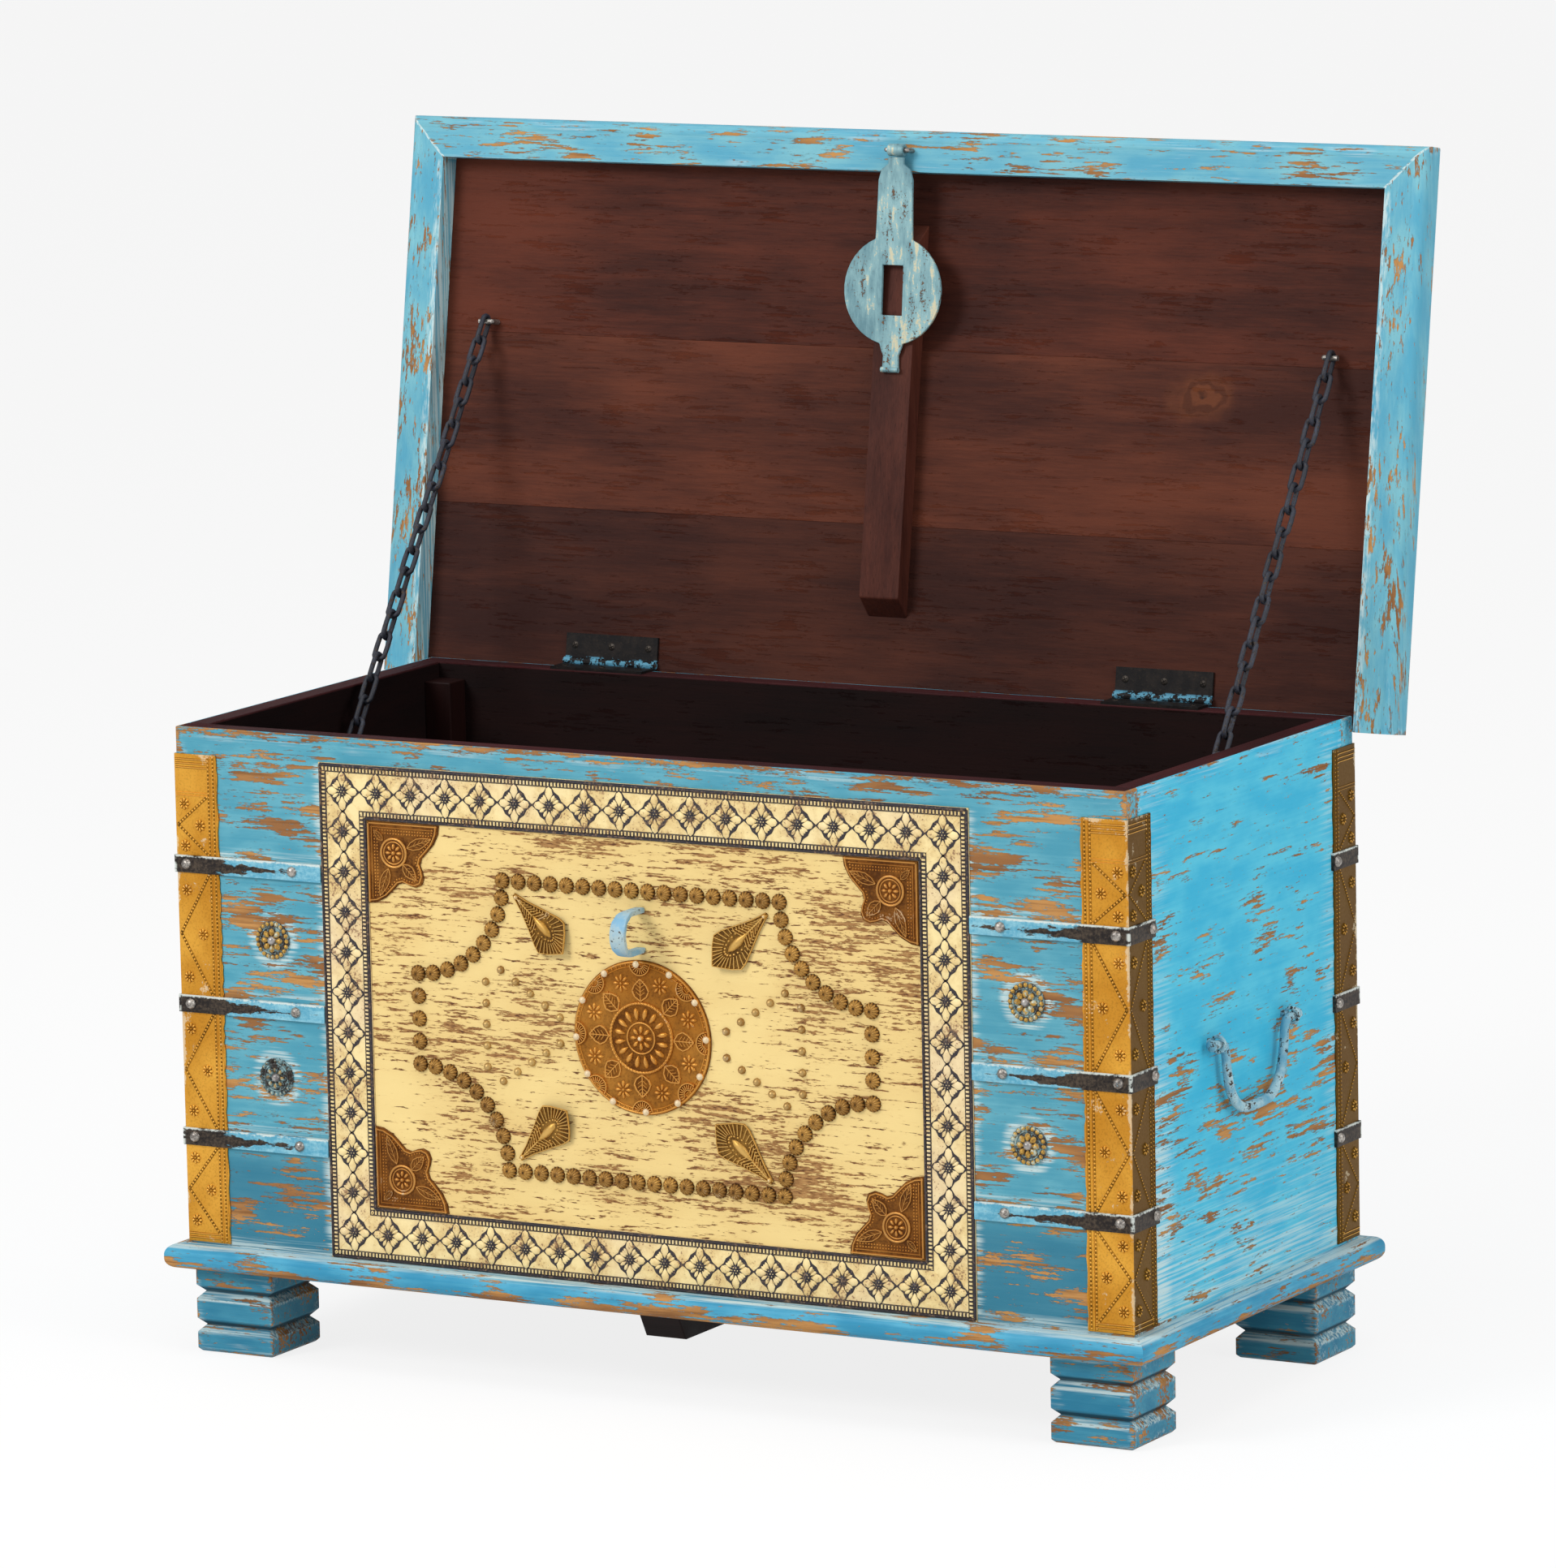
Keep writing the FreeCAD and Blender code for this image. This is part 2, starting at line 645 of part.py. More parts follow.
# Front staple: a flat strip bent to an upright loop with a rounded outer end, between medallion and studs
staple_room = stud_z - medallion_radius
staple_rise = staple_room * STAPLE_RISE_SHARE
staple_z = centre_height + medallion_radius + staple_room * STAPLE_PLACE_SHARE


def staple_outline(inset):
    """Loop seen from the side, drawn in from its outer edge."""
    half = staple_rise / 2 - inset
    centre = Vector(-size("staple_strip") / 2, front - size("staple_reach") + staple_rise / 2, staple_z)
    steps = 2 * BEND_STEPS
    angles = [math.pi * i / steps for i in range(steps + 1)]
    points = [centre + z_axis * (half * math.cos(a)) - y_axis * (half * math.sin(a)) for a in angles]
    points += [Vector(centre.x, front, staple_z - half), Vector(centre.x, front, staple_z + half)]
    return prism(points, x_axis * size("staple_strip"))


piece("front_staple", staple_outline(0.0).cut(staple_outline(size("staple_thickness"))))

# Side handles: a round iron bail hung by its straight ends in two eye staples
rod = size("handle_rod_radius")
eye_hole = rod + size("eye_clearance")
eye_outer = eye_hole + size("eye_wire")
pivot_x = half_width + size("handle_stand_off")
pivot_z = size("handle_height")


def handle_eye(y):
    """Eye ring round the bail's end, on a shank that goes to the board."""
    wire_width = size("eye_wire")
    start = Vector(pivot_x, y - wire_width / 2, pivot_z)
    ring = round_bar(start, y_axis, wire_width, z_axis, x_axis, eye_outer, KNUCKLE_SIDES)
    shank = Part.makeBox(pivot_x - half_width, wire_width, 2 * eye_hole,
                         Vector(half_width, start.y, pivot_z - eye_hole))
    hole = round_bar(start - y_axis * overrun, y_axis, wire_width + 2 * overrun, z_axis, x_axis,
                     over_flats(eye_hole, KNUCKLE_SIDES), KNUCKLE_SIDES)
    return ring.fuse(shank).cut(hole).removeSplitter()


def bend(centre, start, end, radius, steps):
    """Points along a quarter turn from one unit direction to another, both seen from its centre."""
    turns = [math.pi / 2 * i / steps for i in range(steps + 1)]
    return [centre + (start * math.cos(a) + end * math.sin(a)) * radius for a in turns]


def handle_bail():
    """Bail: straight ends along the pivot line, joined by a hanging U."""
    half = size("handle_half_width")
    low = pivot_z - size("handle_drop")
    curve = size("handle_bend")
    turn_in = 2 * rod
    arm = half - 2 * turn_in
    points = [Vector(pivot_x, half + size("handle_end_overhang"), pivot_z)]
    points += bend(Vector(pivot_x, arm + turn_in, pivot_z - turn_in), z_axis, y_axis * -1, turn_in,
                   BEND_STEPS // 2)
    points += bend(Vector(pivot_x, arm - curve, low + curve), y_axis, z_axis * -1, curve, BEND_STEPS)
    points += [Vector(p.x, -p.y, p.z) for p in reversed(points)]
    return bent_rod(points, x_axis, rod, DOME_SIDES)


right_eyes = [handle_eye(-size("handle_half_width")), handle_eye(size("handle_half_width"))]
right_bail = handle_bail()
piece("right_handle_eyes", Part.makeCompound(right_eyes))
piece("left_handle_eyes", Part.makeCompound([mirrored_x(e) for e in right_eyes]))
piece("right_handle", right_bail)
piece("left_handle", mirrored_x(right_bail))

# The lid is laid out closed, then turned open about the hinge axis until the chains are tight
hinge_y = half_depth + size("axis_behind_wall")
hinge_z = rim + size("axis_above_rim")
panel_face = hinge_z + size("axis_above_rim")
skirt = size("rail_thickness") - size("lid_panel_thickness")
rail_face = panel_face - skirt
lid_turn = -RIGHT_ANGLE - size("lid_lean_angle")
lid_open = Placement(Vector(0, 0, 0), Rotation(x_axis, lid_turn), Vector(0, hinge_y, hinge_z))
rail_inner_x = half_width + size("lid_side_gap")
rail_outer_x = rail_inner_x + size("rail_width")
rail_inner_y = front - size("lid_front_gap")
rail_outer_y = rail_inner_y - size("rail_width")
lid_rear = hinge_y + size("lid_rear_overhang")

# Lid rails: a mitred front rail and two side rails with square rear ends, outer edges rounded
front_rail = mitred_bar([Vector(-rail_inner_x, rail_inner_y, rail_face),
                         Vector(rail_inner_x, rail_inner_y, rail_face),
                         Vector(rail_outer_x, rail_outer_y, rail_face),
                         Vector(-rail_outer_x, rail_outer_y, rail_face)],
                        size("rail_thickness"), size("rail_round"), lambda p: p.y < rail_outer_y + near)
side_rail = mitred_bar([Vector(rail_inner_x, rail_inner_y, rail_face),
                        Vector(rail_inner_x, lid_rear, rail_face),
                        Vector(rail_outer_x, lid_rear, rail_face),
                        Vector(rail_outer_x, rail_outer_y, rail_face)],
                       size("rail_thickness"), size("rail_round"), lambda p: p.x > rail_outer_x - near)
piece("lid_front_rail", front_rail, lid_open)
piece("lid_right_rail", side_rail, lid_open)
piece("lid_left_rail", mirrored_x(side_rail), lid_open)

# Lid panel: boards side by side between the rails, their long axis along the front
board_count = count("lid_boards")
board_depth = (lid_rear - rail_inner_y) / board_count
for i, name in zip(range(board_count), ("front", "middle", "rear")):
    board = Part.makeBox(2 * rail_inner_x, board_depth, size("lid_panel_thickness"),
                         Vector(-rail_inner_x, rail_inner_y + i * board_depth, panel_face))
    piece("lid_%s_board" % name, board, lid_open)

# Batten across the boards, with bevelled ends
lid_batten_front = rail_inner_y + size("lid_batten_end_gap")
lid_batten_rear = hinge_y - size("lid_batten_end_gap") - size("hinge_leaf_width") / 2
bevel = size("lid_batten_bevel")
lid_batten_low = panel_face - size("lid_batten_thickness")
batten_x = -size("lid_batten_width") / 2
lid_batten_outline = [Vector(batten_x, lid_batten_front, panel_face),
                      Vector(batten_x, lid_batten_front + bevel, lid_batten_low),
                      Vector(batten_x, lid_batten_rear - bevel, lid_batten_low),
                      Vector(batten_x, lid_batten_rear, panel_face)]
piece("lid_batten", prism(lid_batten_outline, x_axis * size("lid_batten_width")), lid_open)

# Butt hinges: leaf on the rim, leaf on the lid, knuckles that share one pin, countersunk screws
knuckles = count("knuckle_count")
knuckle_pitch = size("hinge_length") / knuckles
leaf_thickness = size("leaf_thickness")
leaf_end = size("axis_behind_wall") + size("hinge_leaf_width")
pin_hole = size("pin_radius") + size("pin_clearance")


def hinge_leaf(centre_x, first, up):
    """Leaf with every second knuckle from first; up is 1 for the lid's leaf (closed), -1 for the case's."""
    start = centre_x - size("hinge_length") / 2
    face = hinge_z + up * size("axis_above_rim")
    low = face if up < 0 else face - leaf_thickness
    plate = Part.makeBox(size("hinge_length"), leaf_end - size("knuckle_radius"), leaf_thickness,
                         Vector(start, hinge_y - leaf_end, low))
    leaf_solid = plate
    for i in range(first, knuckles, 2):
        x = start + i * knuckle_pitch + size("knuckle_gap") / 2
        length = knuckle_pitch - size("knuckle_gap")
        barrel = round_bar(Vector(x, hinge_y, hinge_z), x_axis, length, y_axis, z_axis,
                           size("knuckle_radius"), KNUCKLE_SIDES)
        tongue = Part.makeBox(length, size("knuckle_radius"), leaf_thickness,
                              Vector(x, hinge_y - size("knuckle_radius"), low))
        leaf_solid = leaf_solid.fuse(barrel).fuse(tongue)
    bore = round_bar(Vector(start - overrun, hinge_y, hinge_z), x_axis, size("hinge_length") + 2 * overrun,
                     y_axis, z_axis, over_flats(pin_hole, KNUCKLE_SIDES), KNUCKLE_SIDES)
    return leaf_solid.cut(bore).removeSplitter()


def leaf_screws(centre_x, up):
    """Low dome heads in a row along a leaf, on the side that faces the other leaf."""
    face = hinge_z + up * (size("axis_above_rim") - leaf_thickness)
    y = hinge_y - leaf_end + size("hinge_leaf_width") / 2
    end = size("hinge_length") / 2 - knuckle_pitch / 2
    normal = z_axis * -up
    return [dome(Vector(centre_x + x, y, face), normal, screw_head, WIRE_SIDES)
            for x in spread(-end, end, count("screws_per_leaf"))]


leaf_room = size("axis_above_rim") - leaf_thickness
screw_head = head(size("screw_radius"), min(size("screw_dome"), leaf_room * SCREW_ROOM_SHARE))
case_screws = []
lid_screws = []
for side, x in (("left", -size("hinge_centre_x")), ("right", size("hinge_centre_x"))):
    piece(side + "_hinge_case_leaf", hinge_leaf(x, 0, -1))
    piece(side + "_hinge_lid_leaf", hinge_leaf(x, 1, 1), lid_open)
    pin = doc.addObject("Part::Cylinder", side + "_hinge_pin")
    pin.Placement = Placement(Vector(0, 0, 0), Rotation(y_axis, 90))
    pin.setExpression("Radius", "Sizes.pin_radius")
    pin.setExpression("Height", "Sizes.hinge_length")
    sign = "-" if side == "left" else ""
    pin.setExpression("Placement.Base.x", sign + "Sizes.hinge_centre_x - Sizes.hinge_length / 2")
    pin.setExpression("Placement.Base.y", "Sizes.case_depth / 2 + Sizes.axis_behind_wall")
    pin.setExpression("Placement.Base.z", "Sizes.rim_height + Sizes.axis_above_rim")
    keep(pin, side + "_hinge_pin")
    case_screws += leaf_screws(x, -1)
    lid_screws += leaf_screws(x, 1)
piece("hinge_case_screws", Part.makeCompound(case_screws))
piece("hinge_lid_screws", Part.makeCompound(lid_screws), lid_open)

# Wire staple in the front rail's lower face, and the hasp that hangs from its cross bar against the batten
hasp_y = (rail_inner_y + rail_outer_y) / 2
hasp_pivot_z = rail_face - size("hasp_stand_off")
disc_drop = hasp_pivot_z - staple_z
tail_drop = disc_drop + size("hasp_tail_length")
wire = size("hasp_wire")
leg_x = size("hasp_barrel_length") / 2 + size("staple_leg_gap") + wire


def wire_staple():
    """Staple of bent wire: two legs into the rail and the cross bar that the hasp's eye is rolled round."""
    run = [Vector(-leg_x, hasp_y, rail_face), Vector(-leg_x, hasp_y, hasp_pivot_z),
           Vector(leg_x, hasp_y, hasp_pivot_z), Vector(leg_x, hasp_y, rail_face)]
    return bent_rod(run, y_axis, wire, DOME_SIDES)


def hasp_plate():
    """Hasp hung from the origin: rolled eye, shank, slotted disc and a tail with a curled tip."""
    thickness = size("hasp_thickness")
    eye = wire + size("hasp_clearance")
    barrel_outer = eye + thickness
    shank_half = size("hasp_shank_width") / 2
    barrel_half = size("hasp_barrel_length") / 2
    disc_radius = size("hasp_disc_radius")
    tail_half = size("hasp_tail_width") / 2
    tip_half = size("hasp_tip_width") / 2
    waist = disc_drop + disc_radius * (1 - HASP_TAIL_WAIST_SHARE) + tail_half
    back = -thickness / 2
    outline = [Vector(-barrel_half, back, -eye), Vector(-barrel_half, back, -2 * barrel_outer),
               Vector(-shank_half, back, -3 * barrel_outer), Vector(-shank_half, back, -disc_drop),
               Vector(-tail_half, back, -waist), Vector(-tip_half, back, -tail_drop)]
    outline += [Vector(-p.x, p.y, p.z) for p in reversed(outline)]
    strap = prism(outline, y_axis * thickness)
    disc = round_bar(Vector(0, back, -disc_drop), y_axis, thickness, z_axis, x_axis, disc_radius, DISC_SIDES)
    slot_half = size("staple_strip") / 2 + size("hasp_slot_side_gap")
    slot_run = staple_rise / 2 + size("hasp_slot_end_gap")
    slot = Part.makeBox(2 * slot_half, thickness + 2 * overrun, 2 * slot_run,
                        Vector(-slot_half, back - overrun, -disc_drop - slot_run))
    barrel = round_bar(Vector(-barrel_half, 0, 0), x_axis, 2 * barrel_half, y_axis, z_axis,
                       barrel_outer, KNUCKLE_SIDES)
    bore = round_bar(Vector(-barrel_half - overrun, 0, 0), x_axis, 2 * (barrel_half + overrun),
                     y_axis, z_axis, over_flats(eye, KNUCKLE_SIDES), KNUCKLE_SIDES)
    curl_radius = size("hasp_tip_curl") / 2
    curl = round_bar(Vector(-tip_half, thickness / 2 - curl_radius, -tail_drop), x_axis, 2 * tip_half,
                     y_axis, z_axis, curl_radius, DOME_SIDES)
    return strap.fuse(disc).fuse(barrel).fuse(curl).cut(slot).cut(bore).removeSplitter()


piece("hasp_staple", wire_staple(), lid_open)
hasp_pivot = lid_open.multVec(Vector(0, hasp_y, hasp_pivot_z))
off_batten = lid_batten_low - hasp_pivot_z - size("hasp_thickness") / 2 - size("hasp_rest_gap")
hasp_tilt = math.degrees(math.asin(off_batten / tail_drop)) - size("lid_lean_angle")
piece("hasp", hasp_plate(), Placement(hasp_pivot, Rotation(x_axis, hasp_tilt)))

# Chain hooks: an L hook in the lid panel and a peg in the side wall, each with its bar along the front
hook = size("hook_radius")
hook_bar = size("hook_bar_length")
lid_hook_y = hinge_y - size("chain_lid_reach")
lid_hook_z = panel_face - size("chain_lid_stand_off")
chain_x = half_width - wall - size("chain_wall_gap")
hook_inner = chain_x - hook_bar / 2
wall_point = Vector(chain_x, 0, rim - size("chain_rim_drop"))
lid_point = lid_open.multVec(Vector(chain_x, lid_hook_y, lid_hook_z))


def lid_hook():
    """Hook of bent rod: a shank out of the panel and a bar that the end link hangs on."""
    run = [Vector(hook_inner, lid_hook_y, panel_face), Vector(hook_inner, lid_hook_y, lid_hook_z),
           Vector(hook_inner + hook_bar, lid_hook_y, lid_hook_z)]
    return bent_rod(run, y_axis, hook, DOME_SIDES)


def wall_peg():
    """Headed peg out of the side wall."""
    length = half_width - wall - hook_inner
    profile = [(hook, 0.0), (hook, length), (2 * hook, length), (2 * hook, length + hook / 2)]
    return dome(Vector(half_width - wall, wall_point.y, wall_point.z), x_axis * -1, profile, DOME_SIDES)


right_lid_hook = lid_hook()
right_peg = wall_peg()
piece("lid_chain_hooks", Part.makeCompound([right_lid_hook, mirrored_x(right_lid_hook)]), lid_open)
piece("wall_chain_pegs", Part.makeCompound([right_peg, mirrored_x(right_peg)]))

# Chains: interlocked oval links, each turned a quarter from the last, pulled straight between the hooks
link_wire = size("link_wire_radius")
play = size("link_clearance")
links = count("link_count")
chain_run = wall_point - lid_point
span = chain_run.Length
link_half = (span + 2 * hook + (links + 1) * play) / (2 * links)
pull = Vector(chain_run)
pull.normalize()
flat_side = pull.cross(x_axis)


def chain_link(centre, across):
    """Oval ring of round wire, in the plane of the pull and one direction across it."""
    bow = size("link_inner_width") / 2 + link_wire
    straight = link_half + link_wire - bow
    step = math.pi / LINK_BOW_STEPS
    corner_radius = bow / math.cos(step / 2)
    points = []
    for sign in (1, -1):
        for i in range(LINK_BOW_STEPS):
            angle = step * (i + MIDDLE_SHARE) - math.pi / 2
            out = pull * math.cos(angle) + across * math.sin(angle)
            points.append(centre + (pull * straight + out * corner_radius) * sign)
    return bent_rod(points, pull.cross(across), link_wire, WIRE_SIDES, True)


right_links = []
for i in range(links):
    centre = lid_point + pull * (link_half - play - hook + i * (2 * link_half - play))
    right_links.append(chain_link(centre, flat_side if i % 2 == 0 else x_axis))
piece("right_lid_chain", Part.makeCompound(right_links))
piece("left_lid_chain", Part.makeCompound([mirrored_x(one) for one in right_links]))

doc.recompute()

# Nothing is written unless every object and every shape is sound
for obj in doc.Objects:
    if "Invalid" in obj.State or "Error" in obj.State:
        raise RuntimeError("object failed: " + obj.Label)
for obj in subparts:
    if obj.Shape.isNull() or not obj.Shape.isValid():
        raise RuntimeError("bad shape: " + obj.Label)
os.makedirs("parts", exist_ok=True)
for obj in subparts:
    obj.Shape.exportStep(os.path.join("parts", obj.Label + ".step"))
print(len(subparts), "nodes; hasp pivot", hasp_pivot, "tilt", hasp_tilt)
print("hinge axis", hinge_y, hinge_z, "lid hook", lid_point, "link length inside", 2 * link_half)
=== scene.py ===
import json
import math

import bpy
from mathutils import Matrix, Vector


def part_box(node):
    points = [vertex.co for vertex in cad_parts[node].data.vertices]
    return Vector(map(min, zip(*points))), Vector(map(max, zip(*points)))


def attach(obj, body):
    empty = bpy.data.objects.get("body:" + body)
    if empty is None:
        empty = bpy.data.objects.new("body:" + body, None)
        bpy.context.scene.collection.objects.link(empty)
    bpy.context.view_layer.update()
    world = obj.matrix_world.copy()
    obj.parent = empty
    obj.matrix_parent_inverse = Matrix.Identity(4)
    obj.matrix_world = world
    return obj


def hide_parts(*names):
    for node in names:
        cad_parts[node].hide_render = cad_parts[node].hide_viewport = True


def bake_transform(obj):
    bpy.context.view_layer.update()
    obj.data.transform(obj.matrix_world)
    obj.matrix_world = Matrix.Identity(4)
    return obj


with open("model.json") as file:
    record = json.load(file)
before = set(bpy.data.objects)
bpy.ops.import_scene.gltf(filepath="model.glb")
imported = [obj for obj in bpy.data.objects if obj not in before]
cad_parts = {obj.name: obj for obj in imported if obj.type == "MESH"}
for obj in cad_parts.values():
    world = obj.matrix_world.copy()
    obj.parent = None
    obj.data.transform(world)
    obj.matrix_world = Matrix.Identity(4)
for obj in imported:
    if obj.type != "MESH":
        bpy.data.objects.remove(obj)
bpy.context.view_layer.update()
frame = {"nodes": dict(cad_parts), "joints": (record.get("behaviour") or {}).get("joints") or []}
nodes = frame["nodes"]


# Case boards: solid boards nailed round a dark inside, painted turquoise outside and rubbed through to the
# wood along the grain. The front has a cream field inside the border. Rim and inside are dark stained wood,
# and the bottom board and the posts stay stained all over. Inside the case the stain is made nearly black,
# partly as painted shade, darker than the maroon rim.
class Signal:
    """A socket in a material, so that shader maths reads as plain sums."""

    def __init__(self, tree, socket=None):
        self.tree = tree
        self.socket = socket

    def node(self, kind, settings, sockets, output=0):
        made = self.tree.nodes.new(kind)
        for name, value in settings.items():
            setattr(made, name, value)
        for name, value in sockets.items():
            if isinstance(value, Signal):
                self.tree.links.new(value.socket, made.inputs[name])
            else:
                made.inputs[name].default_value = value
        return Signal(self.tree, made.outputs[output])

    def maths(self, operation, first, second=0.0):
        return self.node("ShaderNodeMath", {"operation": operation}, {0: first, 1: second})

    def __add__(self, other):
        return self.maths("ADD", self, other)

    def __radd__(self, other):
        return self.maths("ADD", other, self)

    def __sub__(self, other):
        return self.maths("SUBTRACT", self, other)

    def __rsub__(self, other):
        return self.maths("SUBTRACT", other, self)

    def __mul__(self, other):
        return self.maths("MULTIPLY", self, other)

    def __abs__(self):
        return self.maths("ABSOLUTE", self)

    def __and__(self, other):
        return self.maths("MINIMUM", self, other)

    def __or__(self, other):
        return self.maths("MAXIMUM", self, other)

    def ramp(self, start, end):
        """0 before start and 1 after end, smooth between them."""
        return self.node("ShaderNodeMapRange", {"interpolation_type": "SMOOTHSTEP"},
                         {"Value": self, "From Min": start, "From Max": end})

    def blend(self, first, second):
        """First colour where this mask is 0, second where it is 1."""
        return self.node("ShaderNodeMix", {"data_type": "RGBA"}, {0: self, 6: first, 7: second}, 2)

    def cloud(self, waves, detail, roughness, shift):
        """Noise on this vector, with so many waves per metre, alike or different in the three directions."""
        stretch = waves if isinstance(waves, tuple) else (waves, waves, waves)
        scaled = self.node("ShaderNodeVectorMath", {"operation": "MULTIPLY"}, {0: self, 1: stretch})
        moved = self.node("ShaderNodeVectorMath", {"operation": "ADD"}, {0: scaled, 1: (shift, shift, shift)})
        return self.node("ShaderNodeTexNoise", {}, {"Vector": moved, "Scale": 1.0, "Detail": detail,
                                                    "Roughness": roughness})

    def parts(self):
        """The three parts of this vector."""
        return [self.node("ShaderNodeSeparateXYZ", {}, {"Vector": self}, i) for i in range(3)]

    def feed(self, shader, name):
        self.tree.links.new(self.socket, shader.inputs[name])

    def bump(self, shader, strength, distance):
        """Makes this value the fine relief of a surface."""
        settings = {"Strength": strength, "Distance": distance, "Height": self}
        self.node("ShaderNodeBump", {}, settings).feed(shader, "Normal")


def tint(red, green, blue):
    """A colour as it is seen, in steps of 255, made linear."""
    return tuple((c / 255 / 12.92 if c < 10.3 else ((c / 255 + 0.055) / 1.055) ** 2.4)
                 for c in (red, green, blue)) + (1.0,)


def new_finish(name):
    """A material, its shader and the place on the object."""
    finish = bpy.data.materials.new(name)
    finish.use_nodes = True
    place = Signal(finish.node_tree).node("ShaderNodeTexCoord", {}, {}, 3)
    return finish, finish.node_tree.nodes["Principled BSDF"], place


def along(grain, fine, coarse):
    """Waves per metre that are long in the direction of the grain."""
    return tuple(coarse if axis == grain else fine for axis in range(3))


def worn_wood(place, grain, shift):
    """Bare brown wood that shows where the paint is gone."""
    fibre = place.cloud(along(grain, 420, 16), 5, 0.6, shift)
    broad = place.cloud(along(grain, 46, 9), 3, 0.5, shift + 4)
    base = broad.ramp(0.36, 0.64).blend(tint(142, 98, 60), tint(186, 136, 80))
    return (fibre.ramp(0.45, 0.72) * 0.65).blend(base, tint(106, 68, 40))


def stain(place, grain, shift, light, dark):
    """Dark stained wood: broad flowing figure, long fibres and fine pores."""
    figure = place.cloud(along(grain, 11, 3.4), 5, 0.5, shift + 7)
    fibre = place.cloud(along(grain, 120, 9), 5, 0.6, shift)
    pore = place.cloud(along(grain, 700, 40), 3, 0.6, shift + 2)
    return (figure * 0.66 + fibre * 0.2 + pore * 0.14).ramp(0.36, 0.64).blend(light, dark)


def distressed_paint(name, box, grain, shift, deep, mid, wear, streaky, rub=None, haze=None, inside=None,
                     cream=None, deeper=None):
    """Paint worn through in ragged streaks along the grain and along edges, with pale dry-brushed places."""
    finish, shader, place = new_finish(name)
    x, y, z = place.parts()
    lo, hi = box
    gaps = [(c - lo[i]) & (hi[i] - c) for i, c in enumerate((x, y, z))]
    edge = (gaps[0] & gaps[1]) | ((gaps[0] | gaps[1]) & gaps[2])
    patch = place.cloud(along(grain, 44, 17), 3, 0.5, shift + 3)
    streak = place.cloud(along(grain, 330, 27), 4, 0.62, shift)
    fleck = place.cloud(along(grain, 850, 210), 3, 0.6, shift + 9)
    brush = place.cloud(along(grain, 420, 8), 4, 0.6, shift + 5)
    stroke = brush.ramp(0.36, 0.64)
    score = patch * (0.84 - streaky) + streak * streaky + fleck * 0.16 + wear
    score = score + (edge + (patch - 0.5) * 0.05 + (streak - 0.5) * 0.02).ramp(0.006, 0.0) * 0.08
    if rub is not None:
        score = score + rub(x, y, z)
    chip = score.ramp(0.574, 0.584) | (fleck * 0.55 + streak * 0.45).ramp(0.625, 0.64)
    dry = (edge + (patch - 0.5) * 0.05).ramp(0.010, 0.0) * 0.4
    if haze is not None:
        dry = dry | haze(x, y, z)
    pale = (dry * (patch * 0.6 + stroke * 0.75) + (stroke - 0.5) * 0.1).ramp(0.06, 0.85)
    coat = (patch * 0.75 + brush * 0.25).ramp(0.34, 0.66).blend(deep, mid)
    # Painted shade: where this mask is set, the coat is darkened to a darker blue that stands in for falling
    # light.
    if deeper is not None:
        coat = deeper(x, y, z).blend(coat, tint(36, 102, 128))
    coat = (pale * 0.8).blend(coat, tint(200, 216, 214))
    # Painted shadow: a dark grey line round the edge of each chip, where the broken paint stands up.
    coat = (score.ramp(0.556, 0.574) * 0.5).blend(coat, tint(66, 92, 98))
    wood = worn_wood(place, grain, shift)
    if cream is not None:
        field = cream(x, y, z)
        region = place.cloud((8, 8, 17), 3, 0.5, shift + 13)
        scrape = place.cloud((30, 30, 330), 5, 0.62, shift + 11)
        speck = place.cloud((150, 150, 700), 3, 0.6, shift + 15)
        field_score = region * 0.3 + scrape * 0.44 + speck * 0.26
        base = region.ramp(0.3, 0.7).blend(tint(232, 206, 140), tint(222, 192, 126))
        base = (field_score.ramp(0.50, 0.55) * 0.4).blend(base, tint(202, 166, 106))
        coat = field.blend(coat, base)
        chip = field * field_score.ramp(0.542, 0.552) + (1 - field) * chip
        bare = speck.ramp(0.35, 0.65).blend(tint(176, 134, 84), tint(138, 98, 58))
        bare = (scrape * 0.5 + speck * 0.5).ramp(0.58, 0.64).blend(bare, tint(92, 58, 40))
        wood = field.blend(wood, bare)
    colour = chip.blend(coat, wood)
    gloss = 0.5 + chip * 0.3 + (fleck - 0.5) * 0.2
    if inside is not None:
        stain_and_shade, stain_and_shade_colour = inside(place, x, y, z)
        colour = stain_and_shade.blend(colour, stain_and_shade_colour)
        gloss = gloss + stain_and_shade * 0.2
    colour.feed(shader, "Base Color")
    gloss.feed(shader, "Roughness")
    ((1 - chip) + fleck * 0.2 + brush * 0.2).bump(shader, 0.6, 0.0008)
    shader.inputs["Specular IOR Level"].default_value = 0.16
    return finish


def stained_wood(name, grain, shift, light, dark):
    """Dark stained and waxed wood with open grain."""
    finish, shader, place = new_finish(name)
    colour = stain(place, grain, shift, light, dark)
    pore = place.cloud(along(grain, 900, 28), 3, 0.6, shift + 2)
    scuff = place.cloud(along(grain, 40, 9), 4, 0.6, shift + 8)
    (pore.ramp(0.56, 0.72) * 0.45).blend(colour, tint(30, 12, 9)).feed(shader, "Base Color")
    (0.48 + pore * 0.2 + (scuff - 0.5) * 0.3).feed(shader, "Roughness")
    (scuff * 0.3 + (1 - pore) * 0.7).bump(shader, 0.3, 0.0005)
    shader.inputs["Specular IOR Level"].default_value = 0.14
    return finish


def dress(names, finish, edge=0.0):
    """Gives CAD boards their finish, and an eased edge where one is wanted."""
    for name in names:
        board = nodes[name]
        board.data.materials.clear()
        board.data.materials.append(finish)
        if edge:
            weld = board.modifiers.new("joined_faces", "WELD")
            weld.merge_threshold = 0.00001
            ease = board.modifiers.new("eased_edges", "BEVEL")
            ease.width = edge
            ease.segments = 2
            ease.angle_limit = math.radians(35)


